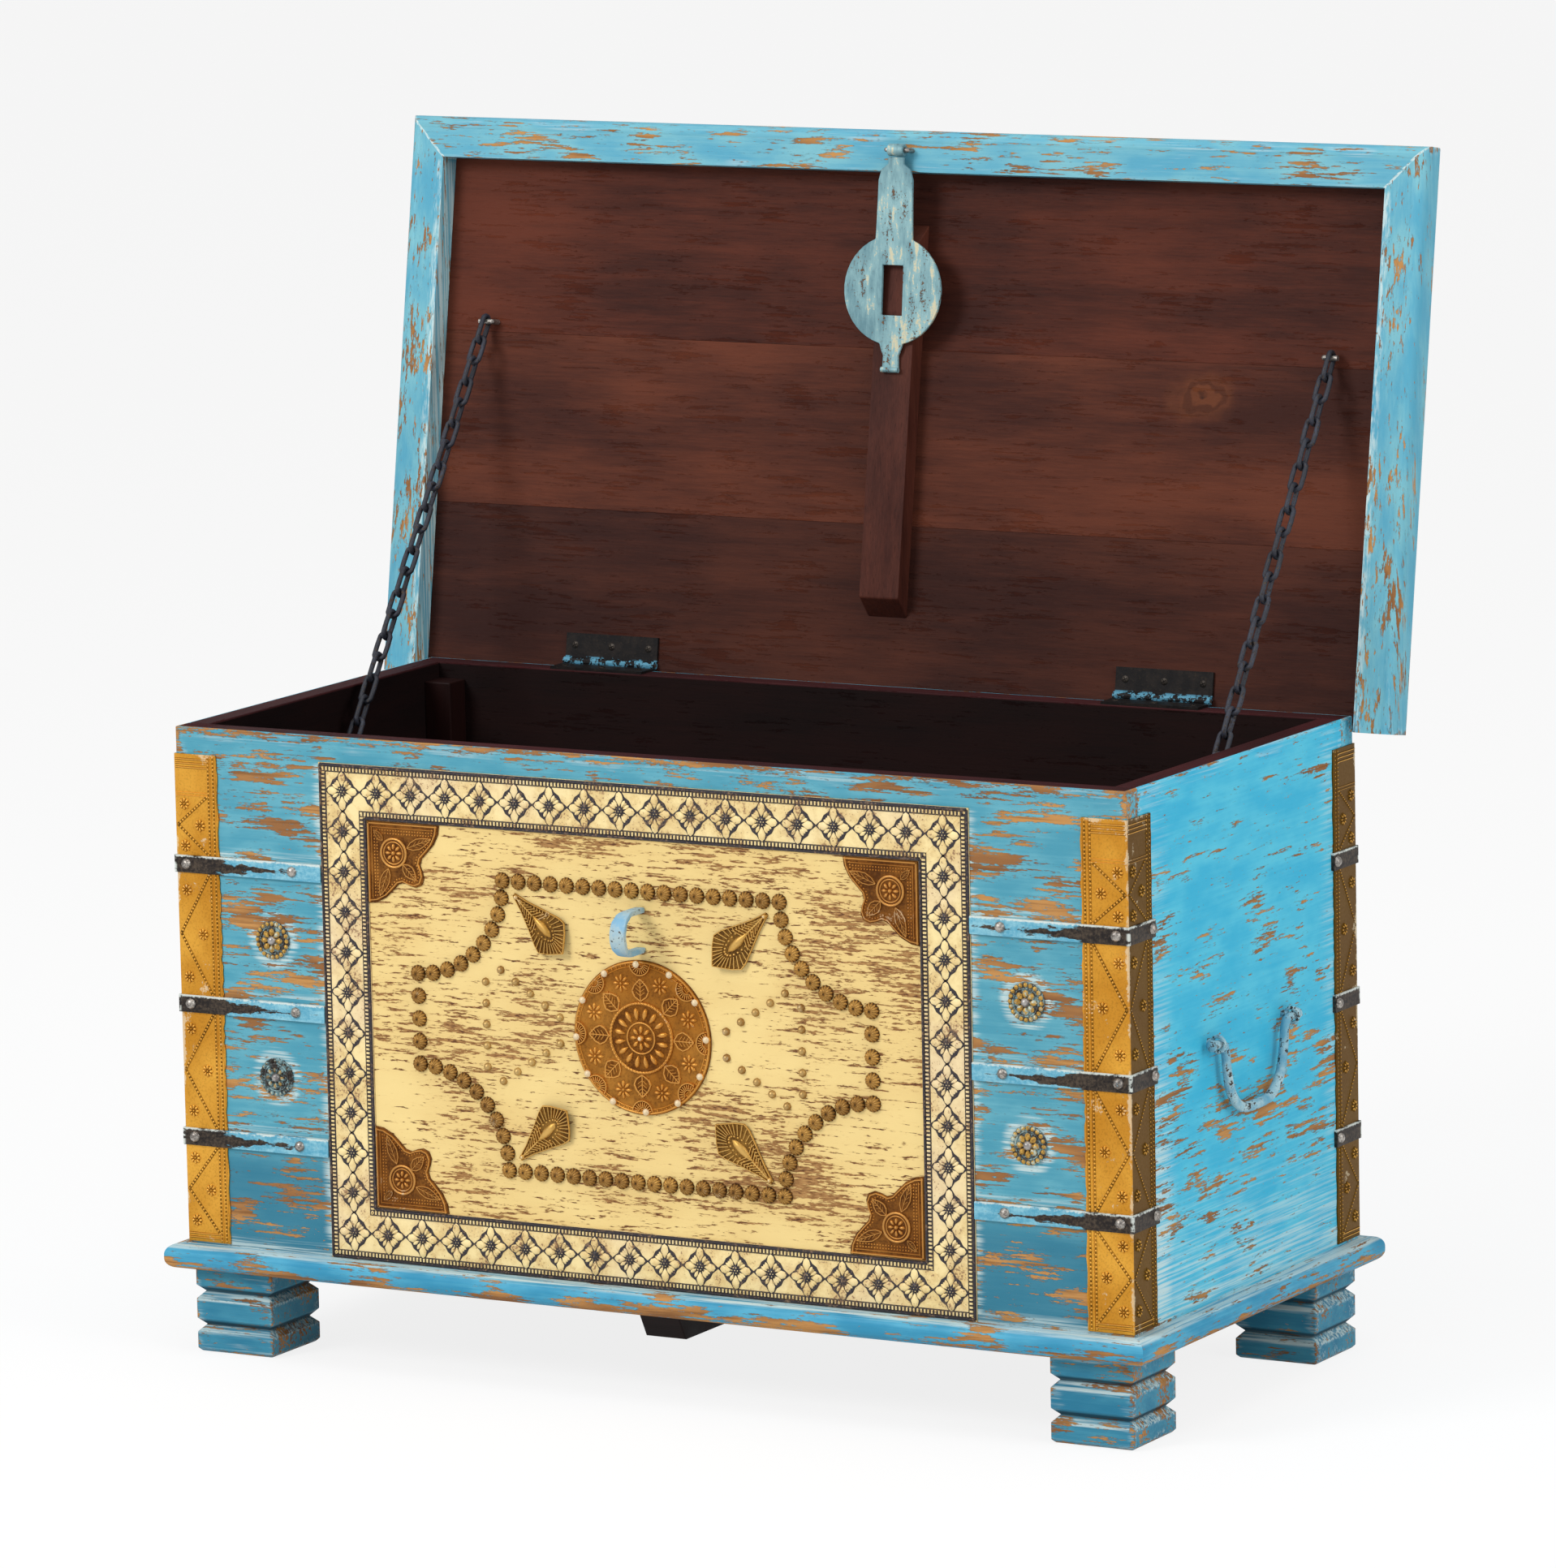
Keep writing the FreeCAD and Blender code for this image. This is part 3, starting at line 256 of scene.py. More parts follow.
def paint_wood(node, paint, edge, *look, **places):
    """Paints one CAD piece, worn along the edges of its own box."""
    dress([node], distressed_paint(paint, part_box(node), *look, **places), edge)


front_lo, front_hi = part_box("front_board")
face_y = front_lo.y
half_width = front_hi.x
field_lo = Vector((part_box("left_border_strip")[1].x, 0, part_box("bottom_border_strip")[1].z))
field_hi = Vector((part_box("right_border_strip")[0].x, 0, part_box("top_border_strip")[0].z))
under_border = 0.01
strap_levels = (0.188, 0.3028, 0.423)
boss_lo, boss_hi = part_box("rosette_bosses")
boss_reach = 0.01545
boss_levels = (boss_lo.z + boss_reach, boss_hi.z - boss_reach)
paint_depth = 0.0015
fade = 0.001
board_edge = 0.0012
stained_edge = 0.001


def dark_case_stain_and_shade(place, z, grain):
    """Stain of the inside, made nearly black partly as painted shade inside the case, with a lighter maroon
    rim.
    """
    inner = stain(place, grain, 20.0, tint(28, 7, 5), tint(12, 2, 2))
    rim = stain(place, grain, 24.0, tint(66, 25, 27), tint(42, 14, 16))
    return (z - front_hi.z + 0.002).ramp(0.0, fade).blend(inner, rim)


def between_sides(x):
    return (half_width - paint_depth - abs(x)).ramp(0.0, fade)


def front_inside(place, x, y, z):
    return (y - face_y - paint_depth).ramp(0.0, fade) * between_sides(x), dark_case_stain_and_shade(place, z, 0)


def side_inside(place, x, y, z):
    return between_sides(x), dark_case_stain_and_shade(place, z, 1)


def back_inside(place, x, y, z):
    return (-face_y - paint_depth - y).ramp(0.0, fade) * between_sides(x), dark_case_stain_and_shade(place, z, 0)


def within(value, low, high):
    """1 from low to high and 0 elsewhere."""
    return (value - low).ramp(-fade, fade) * (high - value).ramp(-fade, fade)


def front_cream(x, y, z):
    """The field, and a little under the border."""
    across = within(x, field_lo.x - under_border, field_hi.x + under_border)
    up = within(z, field_lo.z - under_border, field_hi.z + under_border)
    return across * up * (face_y + paint_depth - y).ramp(-fade, 0.0)


def front_haze(x, y, z):
    """Dry paint over the straps, along the border, round the rosettes and at the foot of the board."""
    straps = [abs(z - level - 0.009).ramp(0.010, 0.0) for level in strap_levels]
    out = abs(x) - (boss_hi.x - boss_reach)
    rings = [(out * out + (z - level) * (z - level)).ramp(0.00085, 0.00030) for level in boss_levels]
    border = abs(abs(x) - 0.306).ramp(0.014, 0.0) * (0.52 - z).ramp(0.0, 0.006)
    foot = abs(z - 0.096).ramp(0.014, 0.0)
    return (straps[0] | straps[1] | straps[2]) * 0.7 | (rings[0] | rings[1]) * 0.9 | border * 0.8 | foot * 0.8


def front_deeper(x, y, z):
    """Painted shade: below the lowest straps the paint is darkened to a darker blue, where the light falls
    off.
    """
    return z.ramp(0.192, 0.160) * 0.7


def side_haze(x, y, z):
    """Dry paint beside the front brass, stronger low down, and along the foot of the board."""
    beside = abs(y - face_y - 0.046).ramp(0.056, 0.0) * (0.30 + z.ramp(0.44, 0.10) * 0.55)
    return beside | abs(y + face_y + 0.046).ramp(0.036, 0.0) * 0.35 | z.ramp(0.26, 0.09) * 0.55


def side_rub(x, y, z):
    """Wear round and under the handle."""
    return abs(z - 0.25).ramp(0.14, 0.0) * 0.05 + abs(z - 0.40).ramp(0.03, 0.0) * 0.022


def back_haze(x, y, z):
    return z.ramp(0.18, 0.09) * 0.5


paint_wood("front_board", "front_paint", board_edge, 0, 0.0, tint(72, 146, 168), tint(102, 168, 184), 0.040,
           0.42, haze=front_haze, inside=front_inside, cream=front_cream, deeper=front_deeper)
for side, shift in (("right", 31.0), ("left", 47.0)):
    paint_wood(side + "_side_board", side + "_side_paint", board_edge, 1, shift, tint(52, 172, 208),
               tint(84, 190, 216), -0.012, 0.44, side_rub, side_haze, side_inside)
paint_wood("back_board", "back_paint", board_edge, 0, 63.0, tint(66, 164, 194), tint(98, 184, 206), 0.0, 0.48,
           haze=back_haze, inside=back_inside)
# The bottom board, its batten and the posts take a near-black stain: a dark stain deepened as painted shade.
for names, finish, grain, shift in ((["bottom_board", "bottom_batten"], "inner_stain_and_shade", 0, 12.0),
                                    (["inner_corner_posts"], "post_stain_and_shade", 2, 18.0)):
    dress(names, stained_wood(finish, grain, shift, tint(30, 8, 6), tint(13, 3, 2)), stained_edge)


# Feet: square blocks turned with two V grooves, painted like the case but darker, partly as painted shade
# under the moulding, and rubbed pale on the grooves' slopes, with brown wood on the edges. They stand under
# the corners.
def foot_haze(x, y, z):
    """Dry paint on the upward slopes of the grooves, down over the faces below them, and round the bottom."""
    slopes = abs(z - 0.0200).ramp(0.007, 0.002) | abs(z - 0.0485).ramp(0.007, 0.002)
    return slopes * 0.75 | z.ramp(0.005, 0.0) * 0.5


def foot_rub(x, y, z):
    return foot_haze(x, y, z) * 0.02


def foot_groove_dirt_and_shade(place, x, y, z):
    """Dirt and painted shade in the depth of the grooves and on their undersides, a dark navy stain for
    shadow.
    """
    # Painted shade and dirt: a dark navy band at the bottom of each groove and on its underside.
    depth = abs(z - 0.0538).ramp(0.0036, 0.0010) | abs(z - 0.0248).ramp(0.0036, 0.0010)
    return depth * 0.8, stain(place, 0, 88.0, tint(24, 44, 56), tint(12, 24, 34))


# The feet's blue is mixed darker than the case's, partly as painted shade where the light falls off under the
# moulding.
for foot, shift in (("front_left_foot", 71.0), ("front_right_foot", 75.0), ("back_left_foot", 79.0),
                    ("back_right_foot", 83.0)):
    paint_wood(foot, foot + "_paint", board_edge, 0, shift, tint(40, 116, 146), tint(68, 142, 166), 0.010,
               0.42, foot_rub, foot_haze, foot_groove_dirt_and_shade)


# Base moulding: rounded lengths mitred round the case, in a stronger blue, rubbed to brown wood along the
# lower edge, with a pale line of filler where the case stands on it.
moulding_lo, moulding_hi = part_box("front_base_moulding")


def moulding_rub(x, y, z):
    return z.ramp(moulding_lo.z + 0.018, moulding_lo.z) * 0.095


def moulding_haze(x, y, z):
    return z.ramp(moulding_hi.z - 0.005, moulding_hi.z)


for length, grain, shift in (("front_base_moulding", 0, 91.0), ("back_base_moulding", 0, 95.0),
                             ("left_base_moulding", 1, 99.0), ("right_base_moulding", 1, 103.0)):
    lo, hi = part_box(length)
    roomy = (lo - Vector((0.03, 0.03, 0)), hi + Vector((0.03, 0.03, 0.03)))
    dress([length], distressed_paint(length + "_paint", roomy, grain, shift, tint(52, 138, 174),
                                     tint(86, 168, 198), 0.0, 0.44, moulding_rub, moulding_haze), 0.0008)


# Border: four mitred strips of embossed sheet metal round the cream field, painted cream over black. Each has
# a rolled edge and a row of dashes on both sides, and a run of four-petalled flowers with dotted centres.
def clear_all():
    if bpy.context.object and bpy.context.object.mode != "OBJECT":
        bpy.ops.object.mode_set(mode="OBJECT")
    bpy.ops.object.select_all(action="DESELECT")


def edit_all():
    """Edit mode, with all of a new form selected."""
    bpy.ops.object.mode_set(mode="EDIT")
    bpy.ops.mesh.select_all(action="SELECT")


def choose_points(form, wanted):
    """Selects the points of a form by their place, in edit mode."""
    bpy.ops.object.mode_set(mode="OBJECT")
    bpy.context.tool_settings.mesh_select_mode = (True, False, False)
    for part in (form.data.polygons, form.data.edges, form.data.vertices):
        part.foreach_set("select", [False] * len(part))
    for point in form.data.vertices:
        point.select = wanted(point.co)
    bpy.ops.object.mode_set(mode="EDIT")


def resize_all(form, size):
    """Scales a whole form from the origin."""
    choose_points(form, lambda co: True)
    bpy.ops.transform.resize(value=size, center_override=(0, 0, 0))


def smooth(degrees=None):
    """Ends edit mode and shades the form smooth, all over or up to an angle between its faces."""
    bpy.ops.object.mode_set(mode="OBJECT")
    if degrees is None:
        bpy.ops.object.shade_smooth()
    else:
        bpy.ops.object.shade_smooth_by_angle(angle=math.radians(degrees))
    return bpy.context.object


def half_ball(segments, rings, radius):
    """The upper half of a ball, left in edit mode."""
    clear_all()
    bpy.ops.mesh.primitive_uv_sphere_add(segments=segments, ring_count=rings, radius=radius)
    edit_all()
    bpy.ops.mesh.bisect(plane_co=(0, 0, 0), plane_no=(0, 0, 1), clear_inner=True)
    return bpy.context.object


def drop_form():
    """Half of a drop, pointed at its inner end, one unit long, wide and high."""
    form = half_ball(8, 6, 0.5)
    choose_points(form, lambda co: co.x < -0.2)
    bpy.ops.transform.resize(value=(1, 0.45, 0.8))
    resize_all(form, (1, 1, 2))
    return smooth()


def bead_form():
    """Half of a ball, one unit across and half a unit high."""
    half_ball(8, 6, 0.5)
    return smooth()


def tapered_block(taper):
    """A pressed block one unit long, wide and high, with a smaller top."""
    clear_all()
    bpy.ops.mesh.primitive_cube_add(size=1, location=(0, 0, 0.5))
    form = bpy.context.object
    bpy.ops.object.transform_apply()
    choose_points(form, lambda co: co.z > 0.5)
    bpy.ops.transform.resize(value=taper)
    bpy.ops.object.mode_set(mode="OBJECT")
    return form


def mark(form, tone):
    """Writes how far a form stands out of the dark ground: 0 in it, 1 rubbed bright, lower at the foot as
    painted shade.
    """
    layer = form.data.attributes.get("tone") or form.data.attributes.new("tone", "FLOAT", "POINT")
    heights = [point.co.z for point in form.data.vertices]
    low = min(heights)
    rise = max(max(heights) - low, 1e-6)
    # Painted shade: the tone falls to 0.4 of its value at the foot of each form, so feet read darker and tops
    # lighter.
    layer.data.foreach_set("value", [tone * (0.4 + 0.6 * (height - low) / rise) for height in heights])
    return form


def copy_of(form, matrix, tone=None):
    """A copy with its own mesh, moved by a matrix."""
    twin = form.copy()
    twin.data = form.data.copy()
    twin.data.transform(matrix)
    if matrix.determinant() < 0:
        twin.data.flip_normals()
    bpy.context.scene.collection.objects.link(twin)
    if tone is not None:
        mark(twin, tone)
    return twin


def stamp(form, at, size, turn, base, tone):
    """A copy of a unit form at a point of the flat, size long, wide and high, turned by so many degrees."""
    spot = Matrix.Translation((*at, base)) @ Matrix.Rotation(math.radians(turn), 4, "Z")
    return copy_of(form, spot @ Matrix.Diagonal((*size, 1)), tone)


def line(start, end, width, height, base, tone):
    """A ridge from one point of the flat to another."""
    run = Vector(end) - Vector(start)
    middle = (Vector(start) + Vector(end)) / 2
    turn = math.degrees(math.atan2(run.y, run.x))
    return stamp(ridge, middle, (run.length, width, height), turn, base, tone)


def polar(degrees, reach, middle=(0, 0)):
    """The point of the flat that lies so far from a middle in some direction."""
    angle = math.radians(degrees)
    return Vector((middle[0] + math.cos(angle) * reach, middle[1] + math.sin(angle) * reach))


def circle(count, reach, middle=(0, 0), start=0):
    """Even points round a middle."""
    return [polar(start + i * 360 / count, reach, middle) for i in range(count)]


def plate(outline, low, high, slope, tone):
    """A flat plate with any outline, its upper edge sloped."""
    clear_all()
    bpy.ops.mesh.primitive_circle_add(vertices=len(outline), radius=1, fill_type="NGON")
    form = bpy.context.object
    for point, (x, y) in zip(form.data.vertices, outline):
        point.co = (x, y, low)
    bpy.ops.object.mode_set(mode="EDIT")
    bpy.context.tool_settings.mesh_select_mode = (False, False, True)
    bpy.ops.mesh.select_all(action="SELECT")
    bpy.ops.mesh.extrude_region_move(TRANSFORM_OT_translate={"value": (0, 0, high - low - slope)})
    bpy.ops.mesh.inset(thickness=slope, depth=0)
    bpy.ops.transform.translate(value=(0, 0, slope))
    bpy.ops.mesh.select_all(action="SELECT")
    bpy.ops.mesh.normals_make_consistent(inside=False)
    bpy.ops.object.mode_set(mode="OBJECT")
    return mark(form, tone)


def joined(name, forms):
    """One piece out of many forms."""
    clear_all()
    for form in forms:
        form.select_set(True)
    bpy.context.view_layer.objects.active = forms[0]
    bpy.ops.object.join()
    whole = bpy.context.object
    whole.name = name
    whole.data.name = name
    return whole


def settle(piece, matrix, finish, body, slot, *hidden):
    """Puts a piece in its place, gives it its finish and ties it to its body."""
    piece.data.transform(matrix)
    piece.data.materials.clear()
    piece.data.materials.append(finish)
    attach(piece, body)
    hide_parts(*hidden)


def put_away(*forms):
    for form in forms:
        bpy.data.objects.remove(form)


def tone_of(place):
    """How far each point stands out of the dark ground."""
    return place.node("ShaderNodeAttribute", {"attribute_name": "tone"}, {}, 2)


on_front = Matrix(((1, 0, 0, 0), (0, 0, -1, face_y), (0, 1, 0, 0), (0, 0, 0, 1)))
in_place = Matrix.Identity(4)
drop = drop_form()
bead = bead_form()
ridge = tapered_block((1, 0.45, 1))


def border_paint():
    finish, shader, place = new_finish("border_cream_on_black")
    tone = tone_of(place)
    grime = place.cloud(55, 5, 0.65, 2.0)
    fine = place.cloud(420, 4, 0.65, 5.0)
    broad = place.cloud(11, 3, 0.5, 8.0)
    cream = grime.ramp(0.36, 0.64).blend(tint(238, 216, 156), tint(214, 184, 122))
    cream = (broad.ramp(0.45, 0.7) * 0.5).blend(cream, tint(226, 204, 170))
    cream = ((fine * 0.55 + grime * 0.45).ramp(0.545, 0.62) * 0.85).blend(cream, tint(128, 88, 60))
    black = (fine * 0.6 + grime * 0.4).ramp(0.5, 0.68).blend(tint(34, 28, 36), tint(132, 104, 78))
    # Black shows where the tone is low: the black ground under the cream, and painted shade at the foot of
    # each form.
    bare = (tone + (fine - 0.5) * 0.5 - (grime - 0.5) * 0.5).ramp(0.46, 0.62)
    bare.blend(black, cream).feed(shader, "Base Color")
    (0.62 - fine * 0.25).feed(shader, "Roughness")
    (fine + grime).bump(shader, 0.4, 0.0005)
    return finish


def border_flower():
    """Lozenge flower: black ground plate, four long petals, two small lobes in each corner, dotted centre."""
    edge = []
    for i in range(32):
        angle = i * math.pi / 16
        across = abs(math.cos(angle)) / 0.0166 + abs(math.sin(angle)) / 0.0184
        edge.append(polar(i * 11.25, (1 + 0.05 * math.cos(8 * angle)) / across))
    forms = [plate(edge, 0.0011, 0.0018, 0.0004, 0.0)]
    start = 0.0036
    base = 0.0014
    for quarter in range(4):
        turn = 90 * quarter
        reach = 0.0150 if quarter % 2 == 0 else 0.0168
        middle = polar(turn, (reach + start) / 2)
        forms.append(stamp(drop, middle, (reach - start, 0.0078, 0.0018), turn, base, 1.0))
        for side, length in ((-30, 0.0075), (30, 0.0075), (-45, 0.0062), (45, 0.0062)):
            if abs(side) == 30 or quarter < 2:
                lean = turn + side
                forms.append(stamp(drop, polar(lean, 0.0072), (length, 0.0034, 0.0013), lean, base, 0.95))
    forms.append(stamp(bead, (0, 0), (0.0086, 0.0098, 0.0044), 0, 0.0012, 0.1))
    for at in circle(6, 0.0026) + [(0, 0)]:
        forms.append(stamp(bead, at, (0.0013, 0.0013, 0.0016), 0, 0.0029, 0.62))
    return joined("border_flower", forms)


def dash_row(start, end):
    """A row of small upright dashes between two points, as an array of one dash."""
    pitch = 0.0033
    run = Vector(end) - Vector(start)
    count = int(run.length / pitch)
    dash = tapered_block((0.5, 0.7, 1))
    resize_all(dash, (pitch * 0.62, 0.0036, 0.0010))
    bpy.ops.object.mode_set(mode="OBJECT")
    mark(dash, 0.9)
    repeat = dash.modifiers.new("row", "ARRAY")
    repeat.count = count
    repeat.use_relative_offset = False
    repeat.use_constant_offset = True
    repeat.constant_offset_displace = (run.length / count, 0, 0)
    bpy.ops.object.modifier_apply(modifier="row")
    turn = Matrix.Rotation(math.atan2(run.y, run.x), 4, "Z")
    dash.data.transform(Matrix.Translation((*start, 0.0012)) @ turn)
    return dash


def border_strip(outer, inner, flowers):
    """One mitred strip from its outer and inner corner pairs, with its edges, dashes and flowers."""
    forms = [plate([outer[0], outer[1], inner[1], inner[0]], 0.0, 0.0012, 0.0003, 1.0)]
    for far, near in ((outer, inner), (inner, outer)):
        edge, dashes, hem = ([Vector(f).lerp(Vector(n), share) for f, n in zip(far, near)]
                             for share in (0.035, 0.105, 0.155))
        forms.append(line(*edge, 0.0030, 0.0013, 0.0010, 0.05))
        forms.append(line(*dashes, 0.0046, 0.0003, 0.0011, 0.15))
        forms.append(dash_row(*dashes))
        forms.append(line(*hem, 0.0009, 0.0006, 0.0010, 0.3))
    for x, y in flowers:
        forms.append(copy_of(flower, Matrix.Translation((x, y, 0))))
    return forms


flower = border_flower()
out_lo = Vector((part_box("left_border_strip")[0].x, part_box("left_border_strip")[0].z))
out_hi = Vector((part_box("right_border_strip")[1].x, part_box("right_border_strip")[1].z))
in_lo = Vector((field_lo.x, field_lo.z))
in_hi = Vector((field_hi.x, field_hi.z))
mid_lo = (out_lo + in_lo) / 2
mid_hi = (out_hi + in_hi) / 2
across_spots = [mid_lo.x + (mid_hi.x - mid_lo.x) * (i + 1) / 17 for i in range(16)]
up_spots = [mid_lo.y + (mid_hi.y - mid_lo.y) * i / 11 for i in range(12)]
border_cream = border_paint()
strips = {
    "top_border_strip": (((out_lo.x, out_hi.y), out_hi), ((in_lo.x, in_hi.y), in_hi),
                         [(x, mid_hi.y) for x in across_spots]),
    "bottom_border_strip": ((out_lo, (out_hi.x, out_lo.y)), (in_lo, (in_hi.x, in_lo.y)),
                            [(x, mid_lo.y) for x in across_spots]),
    "left_border_strip": ((out_lo, (out_lo.x, out_hi.y)), (in_lo, (in_lo.x, in_hi.y)),
                          [(mid_lo.x, y) for y in up_spots]),
    "right_border_strip": (((out_hi.x, out_lo.y), out_hi), ((in_hi.x, in_lo.y), in_hi),
                           [(mid_hi.x, y) for y in up_spots]),
}
for name, (outer, inner, spots) in strips.items():
    settle(joined(name + "_embossed", border_strip(outer, inner, spots)), on_front, border_cream, "case",
           "embossed_border", name)
put_away(flower)


# Corner plaques: pressed brass in the four corners of the cream field, nailed flat. Each has a ringed
# rosette, leaves along its legs, rows of beads along the straight sides and a raised line round its lobed
# long side.
def antique_brass(name, gold, deep, patina, worn, shift, shade=None, rub=None):
    """Brass, dark in its ground, golden where it stands out, with a painted highlight on top and rubbed pale
    in places.
    """
    finish, shader, place = new_finish(name)
    x, y, z = place.parts()
    tone = tone_of(place)
    cloudy = place.cloud(48, 5, 0.62, shift)
    fine = place.cloud(520, 4, 0.62, shift + 3)
    broad = place.cloud(16, 3, 0.5, shift + 6)
    halfway = tuple(p * 0.6 + d * 0.4 for p, d in zip(patina, deep))
    painted_highlight = tuple(g * 0.75 + h for g, h in zip(gold, (0.2, 0.15, 0.07, 0.25)))
    ground = (cloudy * 0.6 + fine * 0.4).ramp(0.38, 0.64).blend(patina, halfway)
    bright = broad.ramp(0.3, 0.7).blend(gold, deep)
    bright = (fine.ramp(0.45, 0.75) * 0.3).blend(bright, patina)
    # Painted shade: the low-toned foot of each raised form takes the dark ground colour; the ground itself is
    # patina.
    colour = (tone + (fine - 0.5) * 0.25 + (cloudy - 0.5) * 0.25).ramp(0.16, 0.52).blend(ground, bright)
    # Painted highlight: the highest parts are blended towards a paler gold as if they caught the light.
    colour = (tone.ramp(0.72, 1.0) * 0.45).blend(colour, painted_highlight)
    # Painted shade: where the shade mask is set, the brass is darkened towards patina.
    if shade is not None:
        colour = (shade(x, y, z) * tone.ramp(1.0, 0.8)).blend(colour, patina)
    score = cloudy * 0.5 + broad * 0.3 + fine * 0.2 + tone * 0.06
    if rub is not None:
        score = score + rub(x, y, z)
    rubbed = score.ramp(0.63, 0.67) * worn | tone.ramp(1.08, 1.2) * 0.8
    rubbed.blend(colour, tint(226, 212, 180)).feed(shader, "Base Color")
    (0.88 - rubbed * 0.6).feed(shader, "Metallic")
    (0.36 + fine * 0.24 + (1 - tone) * 0.1 + rubbed * 0.2).feed(shader, "Roughness")
    (fine + cloudy).bump(shader, 0.25, 0.0004)
    return finish


def ring(middle, radius, width, height, base, tone, steps=36):
    """A raised round line, flattened out of a ring."""
    clear_all()
    bpy.ops.mesh.primitive_torus_add(major_radius=radius, minor_radius=width / 2, major_segments=steps,
                                     minor_segments=6)
    edit_all()
    bpy.ops.transform.resize(value=(1, 1, 2 * height / width), center_override=(0, 0, 0))
    bpy.ops.transform.translate(value=(*middle, base))
    return mark(smooth(), tone)


def round_flower(middle, petals, inner, outer, width, height, base, tone, turn=0.0):
    """Petals round a point, each a drop with its narrow end inwards."""
    forms = []
    for i in range(petals):
        angle = turn + i * 360 / petals
        at = polar(angle, (inner + outer) / 2, middle)
        forms.append(stamp(drop, at, (outer - inner, width, height), angle, base, tone))
    return forms


def beads(points, size, height, base, tone):
    return [stamp(bead, at, (size, size, height * 2), 0, base, tone) for at in points]


def along_line(start, end, pitch):
    """Points from start to end, about a pitch apart."""
    count = max(1, round((Vector(end) - Vector(start)).length / pitch))
    return [Vector(start).lerp(Vector(end), i / count) for i in range(count + 1)]


def ridges(points, width, height, base, tone):
    """A raised line through points of the flat."""
    return [line(a, b, width, height, base, tone) for a, b in zip(points, points[1:])]


def swapped(start, end):
    """A run on the flat, and the same run with its two directions exchanged."""
    return (start, end), (start[::-1], end[::-1])


def veined_leaf(start, end, width, base):
    """A pointed leaf: raised rim, middle rib and slanting veins."""
    run = Vector(end) - Vector(start)
    side = Vector((-run.y, run.x)).normalized()
    shares = ((0.0, 0.0), (0.2, 0.36), (0.45, 0.5), (0.7, 0.36), (1.0, 0.0))
    left = [Vector(start) + run * t + side * width * s for t, s in shares]
    right = [Vector(start) + run * t - side * width * s for t, s in shares]
    forms = [plate(left + right[-2:0:-1], base - 0.0003, base + 0.0006, 0.0003, 0.2)]
    forms += ridges(left, width * 0.13, 0.0011, base, 1.0)
    forms += ridges(right, width * 0.13, 0.0011, base, 1.0)
    forms.append(line(start, end, width * 0.1, 0.0012, base, 1.0))
    for t in (0.25, 0.42, 0.6, 0.76):
        for hand in (-1, 1):
            rib = Vector(start) + run * t
            tip = rib + run * 0.16 + side * hand * width * 0.27
            forms.append(line(rib, tip, width * 0.07, 0.0010, base, 0.9))
    return forms


def corner_plaque(leg):
    """Plaque for the lower left corner: straight sides on both axes, lobed long side."""
    unit = leg / 62
    half = [(62, 0), (61, 7), (57, 15), (51, 21.5), (46.5, 26), (45, 31), (47, 36), (48, 41)]
    edge = [(x * unit, y * unit) for x, y in half + [(46, 46)] + [(y, x) for x, y in reversed(half)]]
    forms = [plate([(0.0, 0.0)] + edge, 0.0, 0.0014, 0.0004, 0.22)]
    top = 0.0013
    forms += ridges([(x * 0.955 + 0.0006, y * 0.955 + 0.0006) for x, y in edge], 0.0016, 0.0012, top, 1.0)
    inner_edge = [(x * 0.88 + 0.0022, y * 0.88 + 0.0022) for x, y in edge]
    for a, b in zip(inner_edge, inner_edge[1:]):
        forms += beads(along_line(a, b, 0.0026)[:-1], 0.0016, 0.0007, top, 0.8)
    for a, b in swapped((0.001, 0.0016), (leg * 0.98, 0.0016)):
        forms.append(line(a, b, 0.0022, 0.0014, 0.0012, 0.9))
    for a, b in swapped((0.004, 0.0048), (leg * 0.93, 0.0048)):
        forms.append(line(a, b, 0.0009, 0.0009, top, 0.8))
    for row in (0.0072, 0.0098):
        for a, b in swapped((row, row), (leg * 0.86, row)):
            forms += beads(along_line(a, b, 0.0027), 0.0016, 0.0007, top, 0.8)
    middle = (leg * 0.37, leg * 0.37)
    forms.append(plate(circle(32, 0.0128, middle), 0.0012, 0.0020, 0.0003, 0.2))
    forms.append(ring(middle, 0.0120, 0.0024, 0.0015, 0.0018, 1.0))
    forms.append(ring(middle, 0.0094, 0.0014, 0.0010, 0.0018, 0.9))
    forms += round_flower(middle, 8, 0.0020, 0.0082, 0.0032, 0.0018, 0.0018, 1.0)
    forms.append(stamp(bead, middle, (0.0040, 0.0040, 0.0050), 0, 0.0019, 1.0))
    for a, b in swapped((leg * 0.56, leg * 0.30), (leg * 0.90, leg * 0.17)):
        forms += veined_leaf(a, b, 0.0090, 0.0016)
    for start, end, width in ((0.50, 0.68, 0.0100), (0.225, 0.105, 0.0055)):
        forms += veined_leaf((leg * start, leg * start), (leg * end, leg * end), width, 0.0016)
    return joined("corner_plaque", forms)


plaque_lo, plaque_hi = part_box("corner_plaques")
plaque_leg = 0.070
plaque = corner_plaque(plaque_leg)
plaques = []
for x, x_way in ((plaque_lo.x, 1), (plaque_hi.x, -1)):
    for z, z_way in ((plaque_lo.z, 1), (plaque_hi.z, -1)):
        plaques.append(copy_of(plaque, Matrix.Translation((x, z, 0)) @ Matrix.Diagonal((x_way, z_way, 1, 1))))
plaque_brass = antique_brass("plaque_brass", tint(206, 146, 68), tint(172, 110, 42), tint(84, 48, 20), 0.4,
                             3.0)
settle(joined("corner_plaques_pressed", plaques), on_front, plaque_brass, "case", "antique_brass",
       "corner_plaques")
put_away(plaque)


